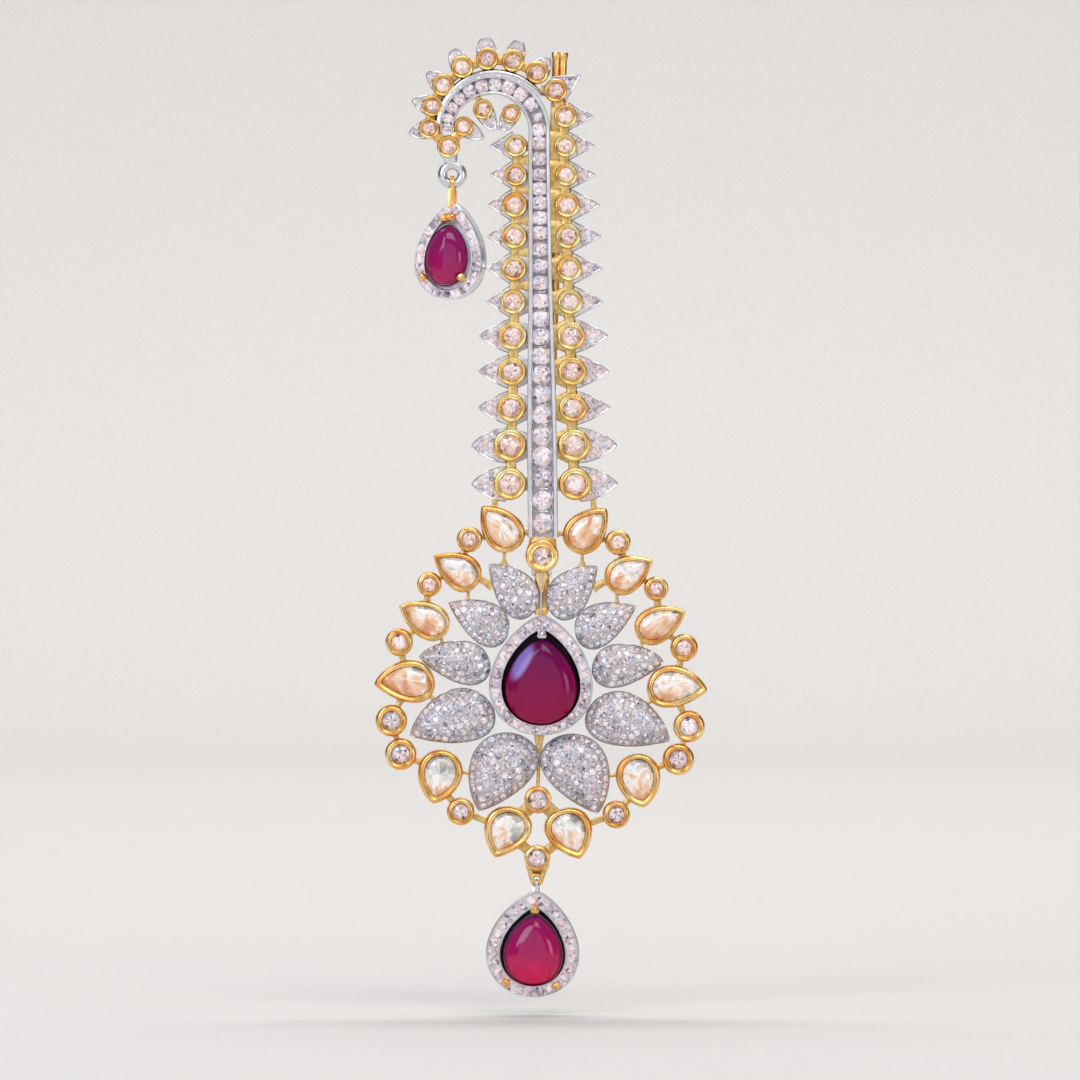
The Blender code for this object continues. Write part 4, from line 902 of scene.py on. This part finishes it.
for number, (name, x, y, radius) in enumerate(ROUNDS + MIDDLE_ROUNDS):
    names = ((f"{name}_left", 1), (f"{name}_right", -1)) if number < 6 else ((f"{name}_middle", 1),)
    wall = ROUND_WALL if number < 6 else MIDDLE_WALL
    for node_name, side in names:
        stone = set_stones(cut_round(), [(side * x, y, 1.98)], (1 - wall) * radius + 0.04, 200 + 2 * number + side,
                           bright=0.64, spread=0.2)
        make_piece(f"brilliant_{node_name}", [stone], peach_diamond if number < 3 else rose_diamond, nodes=(f"diamond_{node_name}",),
                   turn=FLOWER_TURN, faceted=True)

# Centre
# A pear ruby in a white gold cup. The cup's raised band carries one row of pavé between two fine edges, and three
# claws come up inside it, one over the tip and two low.

CENTRE_CUP = (0.0, -7.7, 0.0, 9.2, 14.5, 0.0, 0.48)
CENTRE_RUBY = (0.0, -6.2, 0.05, 5.85, 10.1, 0.0, 0.46)
CENTRE_BAND, CENTRE_TOP, CENTRE_FLOOR = 1.8, 4.2, 1.0
CENTRE_CLAWS = ((0.0, 5.75), (-4.3, -4.5), (4.0, -4.5))


def halo_cup(cup, band, back, floor, top):
    """A cup with a straight wall and, on top, two fine edges with a sunk path between them for a row of stones."""
    rows = ((0.08, back), (0.0, back + 0.1), (0.0, top - 0.3), (0.05, top - 0.1), (0.12, top), (0.2, top),
            (0.26, top - 0.06), (0.3, top - 0.16), (band - 0.3, top - 0.16), (band - 0.26, top - 0.06),
            (band - 0.2, top), (band - 0.1, top), (band - 0.02, top - 0.1), (band, top - 0.3),
            (band + 0.12, floor))
    return skin(drop_rings(cup, rows, steps=144))


def halo_stones(cup, band, top, seed, pitch=1.35):
    """A row of pavé along the middle of a band, spaced evenly by the length along it."""
    path = drop_rings(cup, [(band / 2, top - 0.12)], steps=720)[0]
    ahead = np.linalg.norm(np.roll(path, -1, 0) - path, axis=1)
    run = np.concatenate([[0], np.cumsum(ahead)])
    count = round(run[-1] / pitch)
    where = (np.arange(count) + 0.5) * run[-1] / count
    loop = np.concatenate([path, path[:1]])
    places = np.stack([np.interp(where, run, loop[:, k]) for k in range(3)], -1)
    return set_stones(cut_small(), places, 0.53 * run[-1] / count, seed, bright=0.57, spread=0.18, vary=0.12)


def lining(cup, band, floor, top):
    """The cup's inner wall and floor, just inside the metal."""
    rows = ((band - 0.06, floor - 0.1), (band - 0.03, top - 0.5), (band + 0.02, top - 0.24), (band + 0.1, top - 0.5),
            (band + 0.22, floor + 0.04))
    return skin(drop_rings(cup, rows, steps=144))


def claw(x, y, root_x, root_y, low, rim, radius, sides=14):
    """A wire that stands beside a stone, bends over it and ends in a ball.

    Its middle follows a curve of the second degree through root, bend and tip. A ring of the wire is
    middle + radius (cos f u + sin f v), with u across the curve's plane and v square to both.
    """
    t = np.linspace(0, 1, 12)[:, None]
    root, bend, end = (np.array(p, float) for p in ((root_x, root_y, low), (root_x, root_y, rim + 0.75),
                                                    (x, y, rim + 0.5)))
    middle = (1 - t) ** 2 * root + 2 * t * (1 - t) * bend + t**2 * end
    way = np.gradient(middle, axis=0)
    way /= np.linalg.norm(way, axis=1, keepdims=True)
    across = np.cross(bend - root, end - root)
    across /= np.linalg.norm(across)
    other = np.cross(way, across)
    size = radius * np.array([0.9] * 8 + [1.0, 1.1, 0.95, 0.45])
    angle = np.arange(sides) * 2 * np.pi / sides
    rings = middle[:, None] + size[:, None, None] * (
        np.cos(angle)[:, None] * across + np.sin(angle)[:, None] * other[:, None])
    return skin(rings)


def ruby_rows(low, girdle, top):
    """A cabochon's profile: a short wall, then a dome that goes as a quarter of an ellipse."""
    bow = np.linspace(0, 1, 14)
    return [(0.4, low), (0.05, girdle - 0.3), (0.0, girdle)] + [
        (2.9 * (1 - math.cos(b * math.pi / 2)) + 0.02, girdle + (top - girdle) * math.sin(b * math.pi / 2))
        for b in bow[1:]]


# Ruby, the large one: deep wine red that turns a lighter crimson near its lower end, painted light that comes through
# the stone, with silk and feathers inside about 2 mm across, a violet patch at its upper left edge that is a painted
# reflection of a soft light, and a hard polish.
ruby_deep, tree, place = blank_material("deep_ruby")
height = add_node(tree, "ShaderNodeSeparateXYZ", links={"Vector": place}).outputs["Z"]
silk = add_node(tree, "ShaderNodeTexNoise", {"Scale": 420.0, "Detail": 3.0, "Distortion": 0.6}, {"Vector": place})
rise = add_node(tree, "ShaderNodeMapRange", {"From Min": -0.0062, "From Max": 0.0056}, {"Value": height})
share = add_node(tree, "ShaderNodeMath", {"operation": "MULTIPLY_ADD", 1: 0.3}, {0: silk, 2: rise})
colour = add_node(tree, "ShaderNodeValToRGB", {"stops": (
    (0.12, "#94003E"), (0.45, "#860042"), (0.8, "#760248"), (1.1, "#66084C"))}, {"Fac": share})
# Painted reflection: a soft violet patch at the upper left, where a soft light would show in the polish.
painted_reflection_patch = add_node(tree, "ShaderNodeMapping", {"vector_type": "TEXTURE", "Location": (-0.0026, 0.0, 0.0026),
                                            "Rotation": (0.0, 0.5, 0.0), "Scale": (0.0009, 1.0, 0.0026)},
                {"Vector": place})
painted_reflection_patch = add_node(tree, "ShaderNodeVectorMath", {"operation": "LENGTH"}, {0: painted_reflection_patch}).outputs["Value"]
painted_reflection_patch = add_node(tree, "ShaderNodeMapRange", {"From Min": 1.35, "From Max": 0.65, "To Max": 0.8,
                                             "interpolation_type": "SMOOTHSTEP"}, {"Value": painted_reflection_patch})
colour = add_node(tree, "ShaderNodeMix", {"data_type": "RGBA", 7: linear("#8C7CCC")}, {0: painted_reflection_patch, 6: colour})
stone = add_node(tree, "ShaderNodeBsdfPrincipled", {"Roughness": 0.12, "IOR": 1.77, "Specular IOR Level": 0.14},
                 {"Base Color": colour.outputs[2]})
add_node(tree, "ShaderNodeOutputMaterial", links={"Surface": stone})

# The inner wall of the deep cup: white gold left unpolished, dark with shade and with the ruby's own light.
shaded_metal, tree, place = blank_material("shaded_unpolished_metal")
grain = add_node(tree, "ShaderNodeTexNoise", {"Scale": 4000.0, "Detail": 4.0}, {"Vector": place})
colour = add_node(tree, "ShaderNodeValToRGB", {"stops": ((0.3, "#241820"), (0.7, "#4A3844"))}, {"Fac": grain})
metal = add_node(tree, "ShaderNodeBsdfPrincipled", {"Metallic": 0.6, "Roughness": 0.55}, {"Base Color": colour})
add_node(tree, "ShaderNodeOutputMaterial", links={"Surface": metal})

claws = []
for x, y in CENTRE_CLAWS:
    out = 1 + 1.0 / math.hypot(x, y)
    claws.append(claw(x, y, x * out, y * out, 2.6, 4.3, 0.7 if y > 0 else 0.52))
centre = halo_cup(CENTRE_CUP, CENTRE_BAND, 0.0, CENTRE_FLOOR, CENTRE_TOP)
make_piece("centre_cup", [centre, *claws], white_gold, nodes=("centre_setting",), turn=FLOWER_TURN)
make_piece("centre_lining", [lining(CENTRE_CUP, CENTRE_BAND, CENTRE_FLOOR, CENTRE_TOP)], shaded_metal,
           turn=FLOWER_TURN)
make_piece("centre_pave", [halo_stones(CENTRE_CUP, CENTRE_BAND, CENTRE_TOP, 300)], rose_diamond,
           turn=FLOWER_TURN, faceted=True)
make_piece("centre_stone", [skin(drop_rings(CENTRE_RUBY, ruby_rows(1.15, 3.75, 5.55), steps=144))], ruby_deep,
           nodes=("centre_ruby",), turn=FLOWER_TURN)

# Drops
# Two pear drops hang free, one from the crook's eye and one under the flower. Each is a closed cup with a halo of
# pavé, a domed ruby with claws of yellow gold, and a ribbon bail over the eye's wire.

DROPS = {
    "hook_drop": {
        "cup": (-13.08, 53.3, -12.3, 67.0, 9.85, 0.2, 0.59), "ruby": (-13.35, 55.25, -12.7, 63.7, 6.0, 0.0, 0.3),
        "band": 1.6, "yaw": -15.0, "back": -1.55, "pivot": (-12.43, 69.44), "floor": 1.85, "bail_metal": yellow_gold,
        "lining_metal": graved_plate,
        "claws": ((-13.1, 64.1), (-12.25, 64.25), (-15.95, 56.75), (-10.85, 56.7)),
        "bail": (1.05, 0.36, 0.62, 1.5, 1.0),  # radius, thickness, width, width below, length of the wide part
    },
    "low_drop": {
        "cup": (-1.68, -44.4, -0.35, -29.5, 13.15, -0.15, 0.49), "ruby": (-1.2, -42.68, -1.0, -32.85, 7.95, 0.15, 0.43),
        "band": 2.05, "yaw": 0.0, "back": -1.59, "pivot": (-0.62, -28.63), "floor": 0.9, "bail_metal": white_gold,
        "lining_metal": shaded_metal,
        "claws": ((-0.88, -32.6), (-4.62, -41.9), (1.88, -42.3)),
        "bail": (0.6, 0.26, 0.38, 1.3, 0.45),
    },
}
THICKNESS = 2.8

# Ruby, the two small ones: brighter and pinker than the centre, crimson low down where light comes through.
ruby_bright, tree, place = blank_material("bright_ruby")
height = add_node(tree, "ShaderNodeSeparateXYZ", links={"Vector": place}).outputs["Z"]
silk = add_node(tree, "ShaderNodeTexNoise", {"Scale": 520.0, "Detail": 3.0, "Distortion": 0.5}, {"Vector": place})
upper = add_node(tree, "ShaderNodeMapRange", {"From Min": 0.0535, "From Max": 0.0635}, {"Value": height})
lower = add_node(tree, "ShaderNodeMapRange", {"From Min": -0.0417, "From Max": -0.0285}, {"Value": height})
which = add_node(tree, "ShaderNodeMath", {"operation": "GREATER_THAN", 1: 0.0}, {0: height})
rise = add_node(tree, "ShaderNodeMix", {"data_type": "FLOAT"}, {0: which, 2: lower, 3: upper})
share = add_node(tree, "ShaderNodeMath", {"operation": "MULTIPLY_ADD", 1: 0.3}, {0: silk, 2: rise})
colour = add_node(tree, "ShaderNodeValToRGB", {"stops": (
    (0.1, "#DC0850"), (0.4, "#A60A54"), (0.75, "#8C0E5A"), (1.1, "#84105C"))}, {"Fac": share})
stone = add_node(tree, "ShaderNodeBsdfPrincipled", {"Roughness": 0.1, "IOR": 1.77,
                                                    "Specular IOR Level": 0.22}, {"Base Color": colour})
add_node(tree, "ShaderNodeOutputMaterial", links={"Surface": stone})


def ribbon_bail(reach, radius, thickness, width, foot_width, widens):
    """A ribbon from the cup's front up over the eye's wire and down its back, wide below and narrow in the eye.

    In the plane of height and depth its middle goes straight, half round and straight again, and a ring holds the
    ribbon's four rounded corners: half its width to each side, half its thickness in and out.
    """
    leg = np.array(((reach, foot_width), (-widens, foot_width * 0.85), (-0.75 * widens, foot_width * 0.62),
                    (-0.5 * widens, width)))
    angle = np.linspace(0, np.pi, 19)
    y = np.concatenate([leg[:, 0], radius * np.sin(angle), leg[::-1, 0]])
    z = np.concatenate([np.full(4, radius), radius * np.cos(angle), np.full(4, -radius)])
    wide = np.concatenate([leg[:, 1], np.full(19, width), leg[::-1, 1]]) / 2
    out = np.concatenate([np.tile((0.0, 1.0), (4, 1)), np.stack([np.sin(angle), np.cos(angle)], -1),
                          np.tile((0.0, -1.0), (4, 1))])
    corners = np.array(((-1, 0.6), (-0.8, 1), (0.8, 1), (1, 0.6), (1, -0.6), (0.8, -1), (-0.8, -1), (-1, -0.6)))
    x = wide[:, None] * corners[:, 0]
    lift = thickness / 2 * corners[:, 1]
    return skin(np.stack([x, y[:, None] + lift * out[:, :1], z[:, None] + lift * out[:, 1:]], -1))


for number, (name, drop) in enumerate(DROPS.items()):
    cup, ruby, band, back = drop["cup"], drop["ruby"], drop["band"], drop["back"]
    top, floor = back + THICKNESS, back + 0.9
    middle_x, middle_y = (cup[0] + cup[2]) / 2, (cup[1] + cup[3]) / 2
    yaw = math.radians(drop["yaw"])

    def hang(points):
        """Turns a drop about the upright through its middle and sets it at the height of its eye."""
        x, y, z = (points - (middle_x, 0.0, 0.0)).T
        return np.stack([middle_x + x * math.cos(yaw) + z * math.sin(yaw), y,
                         1.2 - x * math.sin(yaw) + z * math.cos(yaw)], -1)

    claws = []
    for x, y in drop["claws"]:
        out = 0.7 / math.hypot(x - middle_x, y - middle_y)
        claws.append(moved(claw(x, y, x + out * (x - middle_x), y + out * (y - middle_y), floor + 0.8, top + 0.1,
                                0.62), hang))
    pivot_x, pivot_y = drop["pivot"]
    bail = moved(ribbon_bail(cup[3] - pivot_y - 0.9, *drop["bail"]), lambda points: points + (pivot_x, pivot_y, 1.2))
    metal_cup = moved(halo_cup(cup, band, back, floor, top), hang)
    # A thin collet stands round the stone inside the cup and shows as a pale line.
    collet = drop_rings(ruby, [(-0.24, floor), (-0.24, top - 0.42), (-0.17, top - 0.34), (-0.08, top - 0.38),
                               (-0.02, top - 0.5), (-0.02, floor)], steps=120)
    make_piece(f"{name}_cup", [metal_cup, moved(skin(collet, closed=True), hang)], white_gold, body=name,
               nodes=(f"{name}_setting",))
    make_piece(f"{name}_claws", claws, yellow_gold, body=name)
    make_piece(f"{name}_bail", [bail], drop["bail_metal"],
               body=name)
    make_piece(f"{name}_lining", [moved(lining(cup, band, back + drop["floor"], top), hang)], drop["lining_metal"],
               body=name)
    make_piece(f"{name}_pave", [moved(halo_stones(cup, band, top, 310 + number), hang)], rose_diamond,
               body=name, faceted=True)
    rows = ruby_rows(floor + 0.15, top - 0.6, top + 1.35)
    make_piece(f"{name}_stone", [moved(skin(drop_rings(ruby, rows, steps=120)), hang)], ruby_bright,
               body=name, nodes=(f"{name}_ruby",))

# Studio
# A pale paper floor that sweeps up far behind the jewel, soft lights, and a long lens straight in front, as the
# photograph was taken. The picture is 1080 pixels wide and 0.14 mm to the pixel at the jewel.

paper, tree, place = blank_material("pale_backdrop_paper")
fibre = add_node(tree, "ShaderNodeTexNoise", {"Scale": 900.0, "Detail": 4.0}, {"Vector": place})
colour = add_node(tree, "ShaderNodeValToRGB", {"stops": ((0.3, "#D6D4D1"), (0.7, "#DCDAD7"))}, {"Fac": fibre})
sheet = add_node(tree, "ShaderNodeBsdfPrincipled", {"Roughness": 0.8}, {"Base Color": colour})
add_node(tree, "ShaderNodeOutputMaterial", links={"Surface": sheet})

curve = np.radians(np.linspace(0, 90, 16))
depth = np.concatenate([[-1.0, -0.6, 0.4], 1.05 + 0.25 * np.sin(curve), [1.3]])
rise = np.concatenate([[0, 0, 0], 0.25 * (1 - np.cos(curve)), [1.8]]) - 0.047
across = np.linspace(-1.0, 1.0, 9)
sweep = np.stack([np.broadcast_to(across, (len(depth), 9)), np.repeat(depth[:, None], 9, 1),
                  np.repeat(rise[:, None], 9, 1)], -1).reshape(-1, 3)
i, j = np.meshgrid(np.arange(len(depth) - 1), np.arange(8), indexing="ij")
quads = np.stack([i * 9 + j, i * 9 + j + 1, i * 9 + j + 10, i * 9 + j + 9], -1).reshape(-1, 4)
mesh = bpy.data.meshes.new("backdrop")
mesh.from_pydata(sweep.tolist(), [], quads.tolist())
mesh.materials.append(paper)
mesh.shade_smooth()
backdrop = bpy.data.objects.new("backdrop", mesh)
bpy.context.scene.collection.objects.link(backdrop)

# Pale cloth hangs all round, so that no view ends in the dark. The camera alone sees it: it neither lights the jewel
# nor shows in its metal.
cloth, tree, place = blank_material("pale_studio_cloth")
colour = add_node(tree, "ShaderNodeTexNoise", {"Scale": 1.5, "Detail": 2.0}, {"Vector": place})
colour = add_node(tree, "ShaderNodeValToRGB", {"stops": ((0.3, "#DCD9D6"), (0.7, "#E0DDDA"))}, {"Fac": colour})
glow = add_node(tree, "ShaderNodeEmission", {"Strength": 1.0}, {"Color": colour})
add_node(tree, "ShaderNodeOutputMaterial", links={"Surface": glow})

turn, tilt = np.meshgrid(np.radians(np.arange(0, 360, 10)), np.radians(np.arange(-90, 91, 10)))
globe = np.stack([np.cos(turn) * np.cos(tilt), np.sin(turn) * np.cos(tilt), np.sin(tilt)], -1).reshape(-1, 3) * 4.0
i, j = np.meshgrid(np.arange(18), np.arange(36), indexing="ij")
quads = np.stack([i * 36 + j, i * 36 + (j + 1) % 36, (i + 1) * 36 + (j + 1) % 36, (i + 1) * 36 + j], -1).reshape(-1, 4)
mesh = bpy.data.meshes.new("surround")
mesh.from_pydata(globe.tolist(), [], quads.tolist())
mesh.materials.append(cloth)
surround = bpy.data.objects.new("surround", mesh)
surround.visible_diffuse = surround.visible_glossy = surround.visible_transmission = False
surround.visible_volume_scatter = surround.visible_shadow = False
bpy.context.scene.collection.objects.link(surround)

LIGHTS = (
    # name, place and target in metres, width and height, watts, colour
    ("key", (-0.58, -0.8, 0.48), (0.0, 0.0, 0.02), 0.5, 0.6, 4.6, "#E6E8FF"),
    ("front", (-0.1, -1.5, 0.1), (0.0, 0.0, 0.02), 1.6, 1.1, 4.0, "#FFFFFF"),
    ("high", (0.3, -0.95, 1.1), (0.0, 0.0, 0.02), 1.0, 0.6, 7.6, "#FFF6EC"),
    ("fill", (0.75, -0.75, 0.0), (0.0, 0.0, 0.02), 0.26, 0.6, 1.9, "#F8F4FF"),
    ("over", (0.0, 0.05, 0.85), (0.0, 0.0, 0.02), 0.6, 0.4, 1.6, "#FFFFFF"),
    ("backdrop", (0.0, 0.5, 1.3), (0.0, 1.3, 0.1), 2.4, 0.4, 18.0, "#FFFFFF"),
)
for name, where, target, width, height, watts, tint in LIGHTS:
    lamp = bpy.data.lights.new(name, "AREA")
    lamp.shape, lamp.size, lamp.size_y = "RECTANGLE", width, height
    lamp.energy, lamp.color = watts, linear(tint)[:3]
    holder = bpy.data.objects.new(name, lamp)
    holder.location = where
    away = np.subtract(where, target)
    holder.rotation_euler = (math.acos(away[2] / np.linalg.norm(away)), 0.0, math.atan2(away[0], -away[1]))
    holder.visible_camera = False
    bpy.context.scene.collection.objects.link(holder)

world = bpy.data.worlds.new("studio")
world.use_nodes = True
world.node_tree.nodes["Background"].inputs["Color"].default_value = linear("#B8BAC0")
world.node_tree.nodes["Background"].inputs["Strength"].default_value = 0.34
bpy.context.scene.world = world
bpy.context.scene.view_settings.view_transform = "Standard"

lens = bpy.data.cameras.new("camera")
lens.sensor_width, lens.lens = 36.0, 36.0 * 0.9 / 0.1512
camera = bpy.data.objects.new("camera", lens)
camera.location, camera.rotation_euler = (-0.00014, -0.902, 0.0196), (math.pi / 2, 0.0, 0.0)
bpy.context.scene.collection.objects.link(camera)
bpy.context.scene.camera = camera
